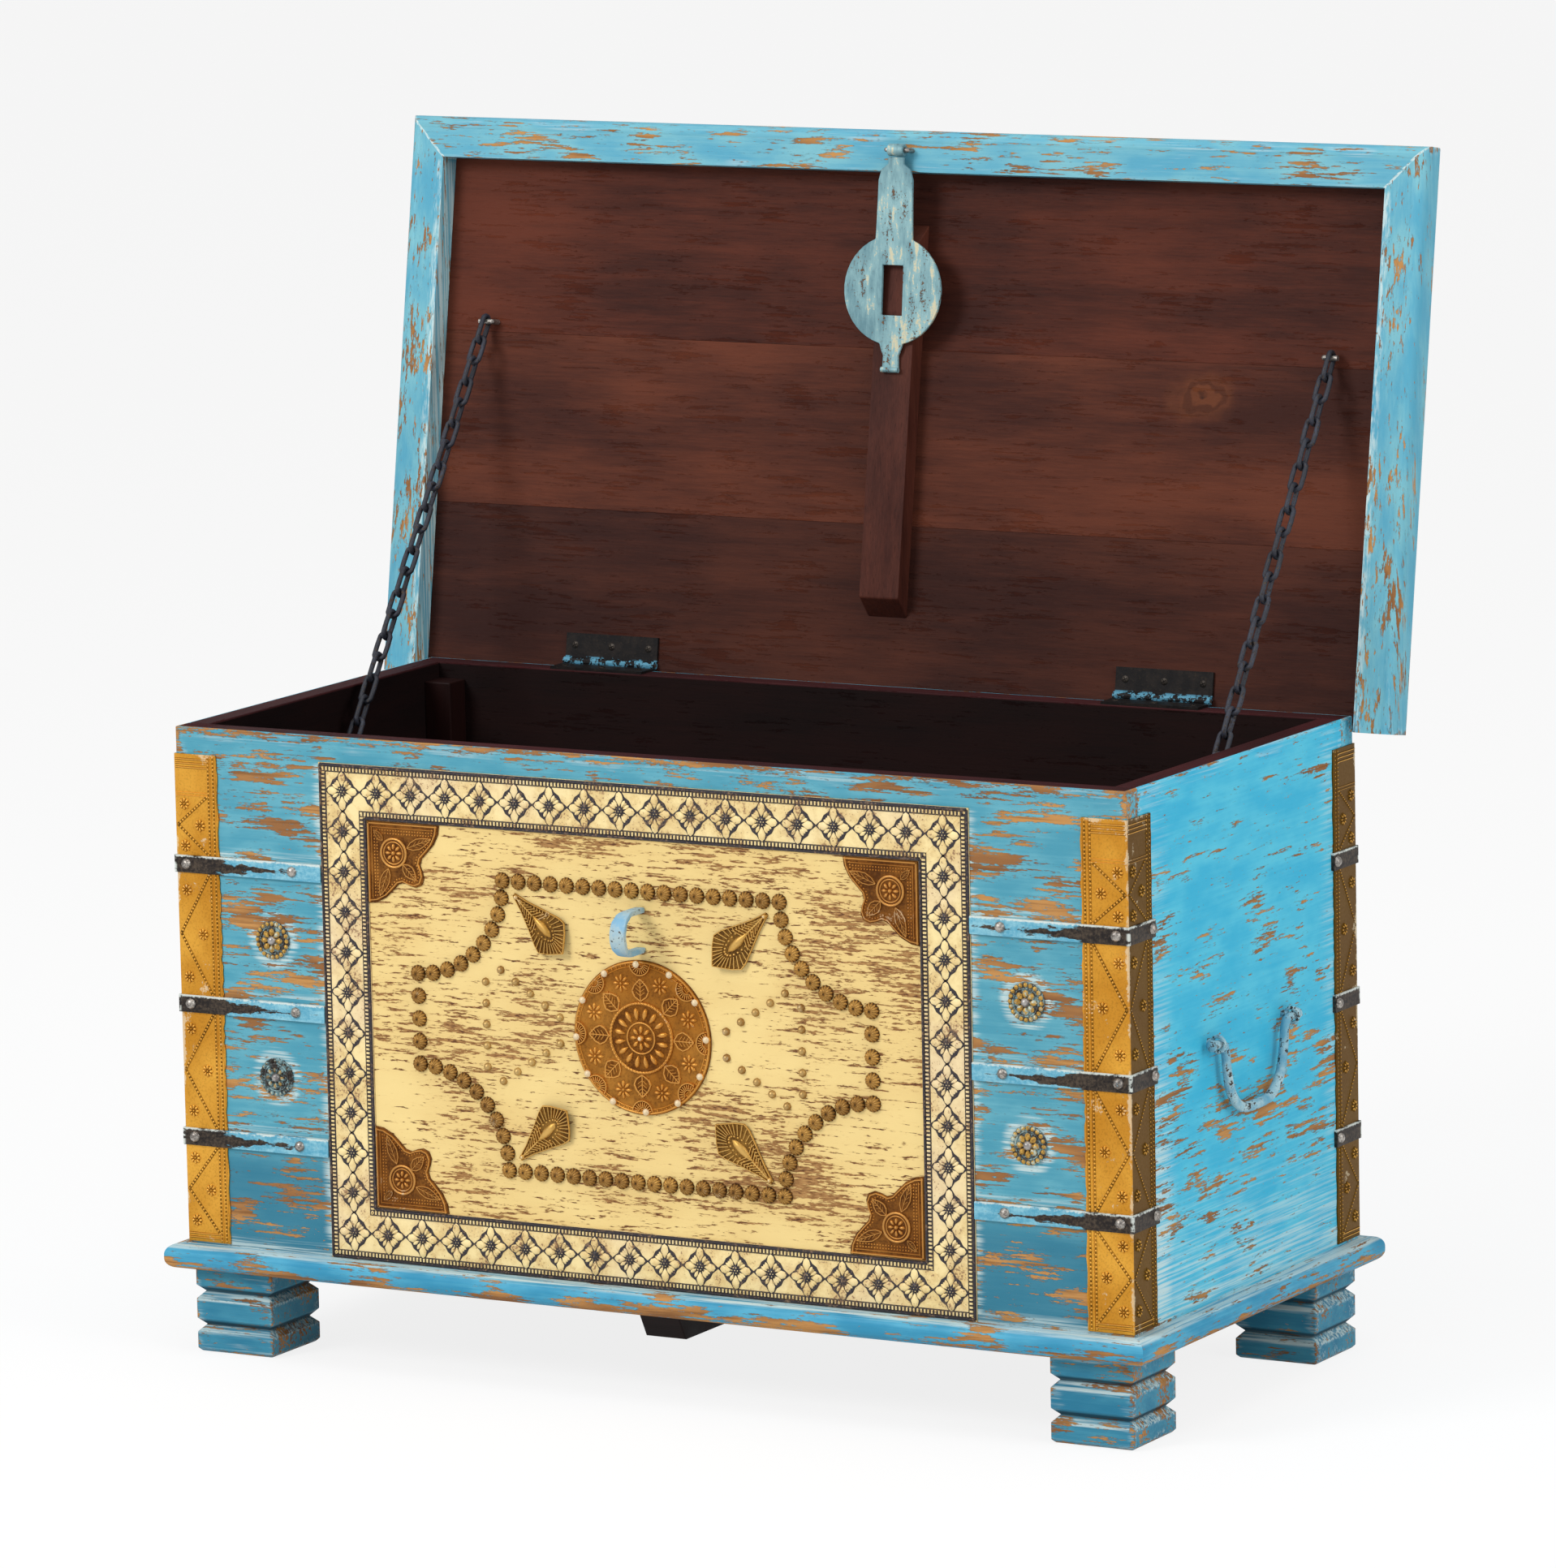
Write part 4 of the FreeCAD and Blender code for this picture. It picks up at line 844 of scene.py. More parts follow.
# Medallion: a round pressed brass plate in the middle of the field, held by twelve pale nails round its rim.
# Its rings go from a small flower to drops, a roped ring, leaves and flowers, and half-round fans outside.
def bead_ring(count, reach, size, lean, base, tone):
    """Long beads round the origin, each turned with its place in the ring."""
    turns = [i * 360 / count for i in range(count)]
    return [stamp(bead, polar(turn, reach), size, turn + lean, base, tone) for turn in turns]


def fan_arc(foot, turn, reach):
    """Points on a half circle round the foot of a fan."""
    return [polar(turn + 180 + j * 180 / 11, reach, foot) for j in range(-5, 6)]


def medallion_form(radius):
    middle = (0, 0)
    top = 0.0023
    low = top + 0.0009
    forms = [plate(circle(96, radius), 0.0, 0.0024, 0.0011, 0.32)]
    forms.append(ring(middle, radius * 0.975, 0.0022, 0.0013, top - 0.0006, 0.9, 96))
    forms.append(ring(middle, radius * 0.925, 0.0010, 0.0008, top, 0.7, 96))
    forms += bead_ring(84, radius * 0.95, (0.0026, 0.0016, 0.0020), 0, top, 0.85)
    forms.append(plate(circle(64, radius * 0.45), top - 0.0004, top + 0.0010, 0.0006, 0.22))
    forms.append(ring(middle, radius * 0.448, 0.0030, 0.0022, top, 0.9, 64))
    forms += bead_ring(60, radius * 0.448, (0.0022, 0.0030, 0.0022), 25, top + 0.0014, 1.0)
    forms.append(ring(middle, radius * 0.20, 0.0017, 0.0014, low, 0.95, 40))
    forms += round_flower(middle, 16, radius * 0.225, radius * 0.40, 0.0050, 0.0022, low, 1.0, 11.25)
    forms += round_flower(middle, 8, radius * 0.05, radius * 0.165, 0.0038, 0.0018, low, 0.95)
    forms.append(stamp(bead, middle, (0.0062, 0.0062, 0.0080), 0, low, 1.25))
    for i in range(8):
        turn = 45 * i
        forms += veined_leaf(polar(turn, radius * 0.475), polar(turn, radius * 0.765), radius * 0.24, top)
        between = polar(turn + 22.5, radius * 0.745)
        forms += round_flower(between, 8, radius * 0.022, radius * 0.125, 0.0031, 0.0016, top, 0.95)
        forms.append(stamp(bead, between, (0.0026, 0.0026, 0.0034), 0, top, 1.0))
        fan = polar(turn, radius * 0.955)
        forms.append(plate(fan_arc(fan, turn, radius * 0.14), top - 0.0004, top + 0.0002, 0.0002, 0.15))
        forms += ridges(fan_arc(fan, turn, radius * 0.145), 0.0019, 0.0019, top, 1.0)
        for a, b in zip(fan_arc(fan, turn, radius * 0.07), fan_arc(fan, turn, radius * 0.128)):
            forms.append(line(a, b, 0.0015, 0.0016, top, 1.0))
        forms += ridges(fan_arc(fan, turn, radius * 0.06), 0.0014, 0.0016, top, 1.0)
    forms += beads(circle(12, radius * 0.952, middle, 3), 0.0070, 0.0041, top, 1.7)
    return joined("medallion_pressed", forms)


disc_lo, disc_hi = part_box("medallion")
centre_z = (disc_lo.z + disc_hi.z) / 2
medallion_brass = antique_brass("medallion_brass", tint(214, 152, 66), tint(184, 118, 38), tint(96, 54, 16),
                                0.3, 17.0)
settle(medallion_form((disc_hi.x - disc_lo.x) / 2), on_front @ Matrix.Translation((0, centre_z, 0)),
       medallion_brass, "case", "antique_brass", "medallion")


# Leaf plaques: four brass leaves like feathers, their narrow ends nailed at the corners of the studded
# outline and their broad ends curled off the board towards the medallion. Each has a beaded drop and
# radiating ridges.
def leaf_form(length, width):
    """Leaf from its narrow end at the origin along the first axis."""
    half = width / 2
    upper = [(0.0, 0.06), (0.2, 0.27), (0.45, 0.64), (0.64, 0.93), (0.74, 1.0), (0.84, 0.70), (0.94, 0.27)]
    left = [(length * t, half * s) for t, s in upper]
    edge = left + [(length, 0.0)] + [(x, -y) for x, y in reversed(left)]
    forms = [plate(edge, 0.0, 0.0013, 0.0003, 0.2)]
    forms += ridges(edge, 0.0012, 0.0012, 0.0011, 0.95)
    forms.append(line((0.002, 0), (length * 0.36, 0), 0.0022, 0.0017, 0.0012, 1.0))
    heart = length * 0.54
    forms.append(stamp(drop, (heart, 0), (length * 0.40, width * 0.22, 0.0034), 0, 0.0013, 1.0))
    for i in range(22):
        angle = i * math.pi / 11
        at = (heart + math.cos(angle) * length * 0.235, math.sin(angle) * width * 0.185)
        forms.append(stamp(bead, at, (0.0022, 0.0022, 0.0026), 0, 0.0013, 0.95))
    for i in range(29):
        out = polar(-140 + i * 10, 1)
        start = Vector((heart + out.x * length * 0.265, out.y * width * 0.235))
        reach = 0.0
        for a, b in zip(edge, edge[1:]):
            side = Vector(b) - Vector(a)
            cross = out.x * side.y - out.y * side.x
            if abs(cross) > 1e-9:
                gap = Vector(a) - start
                run = (gap.x * side.y - gap.y * side.x) / cross
                share = (gap.x * out.y - gap.y * out.x) / cross
                if run > 0 and 0 <= share <= 1:
                    reach = run
        if reach > 0.001:
            forms.append(line(start, start + out * (reach - 0.0006), 0.0012, 0.0017, 0.0011, 1.0))
    for i in range(9):
        t = 0.08 + i * 0.045
        spread = half * (t / 0.45 * 0.6)
        for hand in (-1, 1):
            tip = (length * (t + 0.07), hand * spread)
            forms.append(line((length * t, 0), tip, 0.0012, 0.0015, 0.0012, 1.0))
    forms.append(stamp(bead, (0.003, 0), (0.0050, 0.0050, 0.0060), 0, 0.0012, 1.2))
    whole = joined("leaf_plaque", forms)
    for point in whole.data.vertices:
        lift = max(0.0, (point.co.x / length - 0.35) / 0.65)
        point.co.z += 0.0055 * lift * lift
    return whole


leaf_tip = Vector((0.1201, 0.1119))
leaf_length = 0.067
leaf_width = 0.0365
leaf = leaf_form(leaf_length, leaf_width)
leaves = []
for right in (-1, 1):
    for up in (-1, 1):
        heading = math.atan2(-leaf_tip.y * up, -leaf_tip.x * right)
        spot = Matrix.Translation((leaf_tip.x * right, centre_z + leaf_tip.y * up, 0))
        leaves.append(copy_of(leaf, spot @ Matrix.Rotation(heading, 4, "Z")))
leaf_brass = antique_brass("leaf_brass", tint(216, 172, 92), tint(186, 138, 58), tint(84, 56, 24), 0.4, 29.0)
settle(joined("leaf_plaques_pressed", leaves), on_front, leaf_brass, "case", "antique_brass", "leaf_plaques")
put_away(leaf)


# Rosette bosses: pressed washers with eight gold petals in a ring of beads, held by a steel dome nail, on the
# blue between the border and the brass corners.
def rosette_form(radius):
    ground = [polar(i * 9, radius * (0.95 + 0.05 * (i % 2))) for i in range(40)]
    forms = [plate(ground, 0.0, 0.0016, 0.0005, 0.2)]
    forms += bead_ring(20, radius * 0.87, (0.0046, 0.0044, 0.0052), 0, 0.0012, 0.95)
    forms.append(ring((0, 0), radius * 0.70, 0.0018, 0.0014, 0.0014, 0.5, 40))
    forms += round_flower((0, 0), 8, radius * 0.16, radius * 0.66, radius * 0.36, 0.0034, 0.0014, 1.0)
    forms.append(stamp(bead, (0, 0), (radius * 0.54, radius * 0.54, 0.0098), 0, 0.0014, 2.2))
    return joined("rosette_boss", forms)


def rosette_brass():
    finish, shader, place = new_finish("rosette_brass_and_paint")
    x, y, z = place.parts()
    tone = tone_of(place)
    fine = place.cloud(520, 4, 0.62, 3.0)
    cloudy = place.cloud(120, 4, 0.6, 9.0)
    gold = fine.ramp(0.35, 0.7).blend(tint(206, 166, 82), tint(132, 94, 40))
    gold = (cloudy * 0.6 + fine * 0.4).ramp(0.54, 0.6).blend(gold, tint(186, 196, 182))
    blue = (fine * 0.5 + cloudy * 0.5).ramp(0.46, 0.58).blend(tint(52, 44, 40), tint(128, 160, 164))
    painted_over = x.ramp(0.0, -0.01) * z.ramp(0.27, 0.26)
    colour = (tone + (cloudy - 0.5) * 0.5 - painted_over * 0.35).ramp(0.5, 0.72).blend(blue, gold)
    nail = tone.ramp(1.1, 1.25)
    steel = cloudy.ramp(0.4, 0.65).blend(tint(176, 172, 168), tint(120, 116, 116))
    nail.blend(colour, steel).feed(shader, "Base Color")
    (tone.ramp(0.6, 0.9) * 0.75).feed(shader, "Metallic")
    (0.5 - nail * 0.14 + fine * 0.15).feed(shader, "Roughness")
    (fine + cloudy).bump(shader, 0.4, 0.0004)
    return finish


rosette_radius = 0.0165
boss = rosette_form(rosette_radius)
bosses = []
for x in (boss_lo.x + boss_reach, boss_hi.x - boss_reach):
    for z in boss_levels:
        bosses.append(copy_of(boss, Matrix.Translation((x, z, 0))))
settle(joined("rosettes_pressed", bosses), on_front, rosette_brass(), "case", "antique_brass",
       "rosette_bosses")
put_away(boss)


# Boss studs: large fluted dome heads of dark antique brass, set side by side along a rectangle whose corners
# are hollowed by quarter circles.
def stud_form(radius, height):
    form = half_ball(28, 8, 1)

    def flute(co):
        step = round(math.atan2(co.y, co.x) / (math.pi / 14))
        return step % 2 == 0 and 0.05 < math.hypot(co.x, co.y) and co.z < 0.97

    choose_points(form, flute)
    bpy.ops.transform.resize(value=(0.93, 0.93, 0.91), center_override=(0, 0, 0))
    choose_points(form, lambda co: co.z > 0.97)
    bpy.ops.transform.translate(value=(0, 0, -0.1))
    resize_all(form, (radius, radius, height))
    bpy.ops.object.mode_set(mode="OBJECT")
    # Painted highlight and shade: the tone rises up each dome and is low round its foot and in the centre
    # dimple; the flutes alternate lighter ridges and darker grooves, partly patina.
    layer = form.data.attributes.new("tone", "FLOAT", "POINT")
    for point, value in zip(form.data.vertices, layer.data):
        step = round(math.atan2(point.co.y, point.co.x) / (math.pi / 14))
        value.value = 0.9 * point.co.z / height + (0.32 if step % 2 else -0.2)
        if math.hypot(point.co.x, point.co.y) < radius * 0.05:
            value.value = 0.0
    return form


stud_lo, stud_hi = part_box("boss_studs")
stud_half = Vector(((stud_hi.x - stud_lo.x) / 2 - 0.0055, (stud_hi.z - stud_lo.z) / 2 - 0.0064))
stud_curve = 0.084
stud_radius = 0.0072
stud_height = 0.0058
stud_spots = []
for i in range(18):
    x = (stud_half.x - stud_curve) * (2 * i / 17 - 1)
    stud_spots += [(x, stud_half.y), (x, -stud_half.y)]
for i in range(5):
    y = (stud_half.y - stud_curve) * (i / 2 - 1)
    stud_spots += [(stud_half.x, y), (-stud_half.x, y)]
for i in range(1, 9):
    x, y = stud_half - polar(i * 10, stud_curve)
    stud_spots += [(x, y), (-x, y), (x, -y), (-x, -y)]
stud = stud_form(stud_radius, stud_height)
studs = [copy_of(stud, Matrix.Translation((x, centre_z + y, 0)) @ Matrix.Rotation(i * 0.7, 4, "Z"))
         for i, (x, y) in enumerate(stud_spots)]
stud_brass = antique_brass("stud_brass", tint(188, 144, 74), tint(144, 104, 52), tint(70, 48, 30), 0.25, 41.0)
settle(joined("boss_studs_fluted", studs), on_front, stud_brass, "case", "antique_brass", "boss_studs")
put_away(stud)


# Small nails: round brass heads in two V shapes that point at the medallion, each closed by a column. They
# are driven into the cream field on both sides of it, inside the studded outline.
column_x = 0.150
column_half = 0.0360
nail_width = 0.0072
nail_height = 0.0040
nail_spots = []
for i in range(5):
    x = 0.0791 + 0.0560 * i / 4
    y = 0.0110 + 0.0360 * i / 4
    nail_spots += [(x, y), (x, -y), (-x, y), (-x, -y)]
    nail_spots += [(hand * column_x, column_half * (i / 2 - 1)) for hand in (1, -1)]
nails = beads([(x, centre_z + y) for x, y in nail_spots], nail_width, nail_height, 0, 1.0)
nail_brass = antique_brass("nail_brass", tint(196, 164, 104), tint(150, 112, 62), tint(80, 56, 30), 0.3, 53.0)
settle(joined("small_nails_round", nails), on_front, nail_brass, "case", "antique_brass", "small_nails")


# Brass corners: thin sheet brass folded over the four upright edges. A doubled dotted line runs down each
# free edge, lines cross the ends, and dotted zigzags with small flowers fill the lengths between the straps.
def corner_leg(low, high, reach, hand):
    """One leg on the flat: the fold is at the origin, the free edge at reach on one hand."""
    top = 0.0011
    rough = [(hand * (reach - 0.0005 - 0.0009 * abs(math.sin(i * 2.1) + math.sin(i * 5.3 + 1))),
              low + (high - low) * i / 70) for i in range(71)]
    forms = [plate([(0, low)] + rough + [(0, high)], 0.0, 0.0012, 0.0001, 0.62)]
    free = hand * (reach - 0.0026)
    second = hand * (reach - 0.0078)
    for at in (free, second):
        forms.append(line((at, low), (at, high), 0.0011, 0.0006, top, 0.75))
    # Painted shadow: a wide dark strip lies under each dotted line.
    for at in (free - hand * 0.0022, second - hand * 0.0019):
        forms.append(line((at, low + 0.001), (at, high - 0.001), 0.0028, 0.0002, top, 0.25))
        forms += beads(along_line((at, low + 0.002), (at, high - 0.002), 0.0034), 0.0022, 0.0008, top, 1.0)

    def cross_line(height, width, rise, tone):
        ends = (hand * 0.001, height), (hand * (reach - 0.009), height)
        forms.append(line(*ends, width, rise, top, tone))

    # Each cross line is a bright ridge over a wider dark strip of painted shadow.
    for height in (high - 0.0045, high - 0.0080, high - 0.0115, low + 0.0035, low + 0.0070):
        cross_line(height, 0.0026, 0.0002, 0.2)
        cross_line(height, 0.0013, 0.0008, 1.0)
    inside = hand * (reach - 0.0115)
    outside = hand * 0.002
    centre = (inside + outside) / 2
    aside = (inside - outside) * 0.27
    levels = [low + 0.002, *strap_levels, high - 0.036]
    for below, above in zip(levels, levels[1:]):
        lower = below + (0.0085 if below != levels[0] else 0.006)
        upper = above - (0.0085 if above != levels[-1] else 0.0)
        middle = (lower + upper) / 2
        quarter = (upper - lower) / 4
        # Painted shadow: a wide dark strip under each dotted zigzag.
        for a, b in (((inside, lower), (outside, middle)), ((outside, middle), (inside, upper))):
            forms.append(line(a, b, 0.0032, 0.0003, top, 0.2))
            forms += beads(along_line(a, b, 0.0032), 0.0023, 0.0009, 0.0012, 1.0)
        # Painted shadow: a dark disc under each small flower.
        for at in ((centre + aside * 0.9, middle), (centre - aside, lower + quarter * 0.55),
                   (centre - aside, upper - quarter * 0.55)):
            forms.append(plate(circle(16, 0.0047, at), 0.0010, 0.0014, 0.0002, 0.2))
            forms += round_flower(at, 8, 0.0012, 0.0056, 0.0026, 0.0014, 0.0012, 1.0)
            forms.append(stamp(bead, at, (0.0018, 0.0018, 0.0026), 0, 0.0012, 0.9))
    for height in (high - 0.033, high - 0.0355):
        cross_line(height, 0.0011, 0.0007, 0.9)
    return joined("corner_leg", forms)


brass_lo, brass_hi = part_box("front_right_brass_corner")
on_back = Matrix(((-1, 0, 0, 0), (0, 0, 1, -face_y), (0, 1, 0, 0), (0, 0, 0, 1)))
on_right = Matrix(((0, 0, 1, half_width), (1, 0, 0, 0), (0, 1, 0, 0), (0, 0, 0, 1)))
on_left = Matrix(((0, 0, -1, -half_width), (-1, 0, 0, 0), (0, 1, 0, 0), (0, 0, 0, 1)))
brass_reach = 0.043
left_leg = corner_leg(brass_lo.z, brass_hi.z, brass_reach, -1)
right_leg = corner_leg(brass_lo.z, brass_hi.z, brass_reach, 1)


def side_leg_shade(x, y, z):
    """Painted shade: the legs that don't face the front are darkened towards patina, for their darker
    reflection.
    """
    return (y - face_y).ramp(0.0, 0.0002) * 0.92


def at_fold(x, y, z):
    """Flecks of pale paint along the fold and the upper end."""
    fold = (abs(x) - half_width).ramp(-0.003, 0.001) * (abs(y) + face_y).ramp(-0.003, 0.001)
    return fold * 0.10 + z.ramp(brass_hi.z - 0.004, brass_hi.z) * 0.06


corner_brass = antique_brass("corner_brass", tint(234, 176, 70), tint(200, 138, 42), tint(92, 64, 14), 0.6,
                             61.0, side_leg_shade, at_fold)
fold_x = half_width + 0.001
fold_y = -face_y + 0.001
legs = {
    "front_right_brass_corner": ((on_front, left_leg, fold_x), (on_right, right_leg, -fold_y)),
    "front_left_brass_corner": ((on_front, right_leg, -fold_x), (on_left, left_leg, fold_y)),
    "back_right_brass_corner": ((on_back, right_leg, -fold_x), (on_right, left_leg, fold_y)),
    "back_left_brass_corner": ((on_back, left_leg, fold_x), (on_left, right_leg, -fold_y)),
}
for name, runs in legs.items():
    forms = [copy_of(form, face @ Matrix.Translation((fold, 0, 0))) for face, form, fold in runs]
    settle(joined(name + "_embossed", forms), in_place, corner_brass, "case", "antique_brass", name)
put_away(left_leg, right_leg)


# Straps: three flat iron bars round each corner, over the brass. Light blue paint is left on the ends towards
# the border, bare black iron shows near the corner, and dry pale paint sits on the upper edges.
def strap_iron():
    finish, shader, place = new_finish("strap_iron_and_paint")
    x, y, z = place.parts()
    patch = place.cloud((60, 60, 200), 5, 0.62, 3.0)
    fine = place.cloud(360, 4, 0.6, 7.0)
    lifts = [(z - level) * abs(z - level).ramp(0.0112, 0.0108) for level in strap_levels]
    lift = lifts[0] + lifts[1] + lifts[2]
    on_face = (abs(y) + face_y - 0.0008).ramp(0.0, 0.0004)
    wedge = ((abs(x) - 0.334) * 0.075 - abs(lift + 0.001) + (patch - 0.5) * 0.016).ramp(-0.0004, 0.0006)
    bare = wedge | (abs(x) + (patch - 0.5) * 0.03).ramp(0.402, 0.408)
    paint = on_face * (1 - bare)
    upper = (lift + (fine - 0.5) * 0.004).ramp(0.0054, 0.0066) * (patch + fine * 0.3).ramp(0.5, 0.66)
    fold = abs(x).ramp(0.4495, 0.4520) * (abs(y) + face_y).ramp(0.0, 0.002)
    white = upper | fold * (patch + fine * 0.4).ramp(0.66, 0.76)
    iron = (fine * 0.6 + patch * 0.4).ramp(0.4, 0.66).blend(tint(34, 29, 28), tint(84, 72, 60))
    blue = (fine * 0.4 + patch * 0.6).ramp(0.36, 0.64).blend(tint(74, 152, 180), tint(132, 188, 204))
    (white * 0.85).blend(paint.blend(iron, blue), tint(208, 216, 210)).feed(shader, "Base Color")
    ((1 - (paint | white)) * 0.65).feed(shader, "Metallic")
    (0.44 + paint * 0.14 + fine * 0.12).feed(shader, "Roughness")
    (paint + fine * 0.6 + patch * 0.4).bump(shader, 0.5, 0.0006)
    return finish


straps = ["front_right_straps", "front_left_straps", "back_right_straps", "back_left_straps"]
dress(straps, strap_iron(), 0.0007)


# Rivets: silvery dome heads at the straps' ends and corners, some with a smear of blue paint. They are
# hammered into the case through the straps.
def steel_finish(name, smear, bright=tint(186, 180, 172), dull=tint(104, 98, 94), shift=0.0):
    finish, shader, place = new_finish(name)
    fine = place.cloud(700, 4, 0.6, shift)
    patch = place.cloud(130, 4, 0.6, shift + 3)
    metal = (fine * 0.5 + patch * 0.5).ramp(0.38, 0.62).blend(bright, dull)
    paint = (patch * 0.7 + fine * 0.3 + smear).ramp(0.62, 0.68)
    paint.blend(metal, tint(140, 186, 204)).feed(shader, "Base Color")
    ((1 - paint) * 0.85).feed(shader, "Metallic")
    (0.34 + fine * 0.2 + paint * 0.15).feed(shader, "Roughness")
    (fine + patch).bump(shader, 0.3, 0.0004)
    return finish


def rivet(face, across, up):
    """One dome head on the outer face of a strap."""
    spot = face @ Matrix.Translation((across, up, rivet_out))
    return copy_of(bead, spot @ Matrix.Diagonal((rivet_width, rivet_width, rivet_height, 1)), 1.0)


rivet_out = 0.003
rivet_width = 0.0096
rivet_height = 0.0074
front_rivets = (0.336, 0.441)
side_rivets = (-0.170, 0.170)
back_rivet = 0.412
rivets = []
for z in strap_levels:
    for hand, side_face in ((-1, on_left), (1, on_right)):
        rivets += [rivet(on_front, hand * x, z) for x in front_rivets]
        rivets += [rivet(side_face, hand * y, z) for y in side_rivets]
        rivets.append(rivet(on_back, -hand * back_rivet, z))
settle(joined("strap_rivets_domed", rivets), in_place, steel_finish("rivet_steel", -0.02), "case",
       "bright_steel", "strap_rivets")


# Front staple: a flat iron strip bent to an upright loop for the padlock, painted light blue and chipped to
# black. Its two ends are driven into the front board.
def chipped_blue(name, amount, shift, light, pale, waves=150):
    """Light blue paint over black iron, chipped in specks and rubbed pale on top."""
    finish, shader, place = new_finish(name)
    patch = place.cloud(waves, 5, 0.66, shift)
    fine = place.cloud(600, 3, 0.6, shift + 5)
    broad = place.cloud(45, 3, 0.5, shift + 9)
    coat = (broad * 0.6 + patch * 0.4).ramp(0.38, 0.62).blend(light, pale)
    coat = (fine.ramp(0.5, 0.75) * 0.4).blend(coat, light)
    chip = (patch * 0.62 + fine * 0.26 + broad * 0.12 + amount).ramp(0.585, 0.615)
    iron = fine.ramp(0.4, 0.7).blend(tint(34, 32, 36), tint(84, 72, 62))
    chip.blend(coat, iron).feed(shader, "Base Color")
    (chip * 0.6).feed(shader, "Metallic")
    (0.5 + fine * 0.2).feed(shader, "Roughness")
    ((1 - chip) + fine * 0.5).bump(shader, 0.5, 0.0005)
    return finish


def ease_edges(form, width, segments, degrees):
    """Rounds the sharp edges of the active form."""
    ease = form.modifiers.new("eased", "BEVEL")
    ease.width = width
    ease.segments = segments
    ease.angle_limit = math.radians(degrees)
    bpy.ops.object.modifier_apply(modifier="eased")


def staple_form(rise, reach, strip, thick):
    """A strip drawn out from the board, round a half circle and back, hammered broader round its bow."""
    straight = reach - rise / 2
    stub = 0.004
    clear_all()
    bpy.ops.mesh.primitive_cube_add(size=1, location=(0, 0, 0))
    form = bpy.context.object
    edit_all()
    bpy.ops.transform.resize(value=(strip, stub, thick))
    bpy.ops.transform.translate(value=(0, face_y - stub / 2, rise / 2 - thick / 2))
    choose_points(form, lambda co: co.y < face_y - 0.003)
    bpy.ops.transform.translate(value=(0, stub - straight, 0))
    bpy.ops.mesh.spin(steps=14, angle=-math.pi, center=(0, face_y - straight, 0), axis=(1, 0, 0))
    bpy.ops.mesh.extrude_region_move(TRANSFORM_OT_translate={"value": (0, straight, 0)})
    bpy.ops.mesh.select_all(action="SELECT")
    bpy.ops.mesh.remove_doubles(threshold=0.00001)
    bpy.ops.mesh.normals_make_consistent(inside=False)
    for depth, swell in ((0.001, 1.16), (0.006, 1.17), (0.012, 1.15)):
        choose_points(form, lambda co: co.y < face_y - straight - depth)
        bpy.ops.transform.resize(value=(swell, 1, 1), center_override=(0, 0, 0))
    bpy.ops.object.mode_set(mode="OBJECT")
    ease_edges(form, 0.0009, 2, 40)
    form.name = "front_staple_loop"
    return smooth(40)


staple_lo, staple_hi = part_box("front_staple")
staple_size = staple_hi - staple_lo
staple = staple_form(staple_size.z, staple_size.y, staple_size.x, 0.0045)
staple_paint = chipped_blue("staple_paint", 0.016, 5.0, tint(116, 166, 196), tint(164, 186, 190))
settle(staple, Matrix.Translation((0, 0, (staple_lo.z + staple_hi.z) / 2)), staple_paint, "case",
       "painted_iron", "front_staple")


# Side handles: round iron bails hung by their ends in forged eye staples, each with a knob at its outer end.
# Both are thickly painted blue with dark chips.
def rod(name, points, radius, closed=False, girths=None):
    """Round bar along a smooth line through the corners given, thicker or thinner by its girths."""
    clear_all()
    bpy.ops.curve.primitive_nurbs_path_add(location=(0, 0, 0))
    path = bpy.context.object
    path.data.splines.remove(path.data.splines[0])
    run = path.data.splines.new("NURBS")
    run.points.add(len(points) - 1)
    for spot, co, girth in zip(run.points, points, girths or [1.0] * len(points)):
        spot.co = (*co, 1)
        spot.radius = girth
    run.order_u = 3
    run.use_endpoint_u = not closed
    run.use_cyclic_u = closed
    run.resolution_u = 6
    path.data.bevel_depth = radius
    path.data.bevel_resolution = 3
    path.data.use_fill_caps = not closed
    bpy.ops.object.convert(target="MESH")
    bpy.context.object.name = name
    return smooth(50)


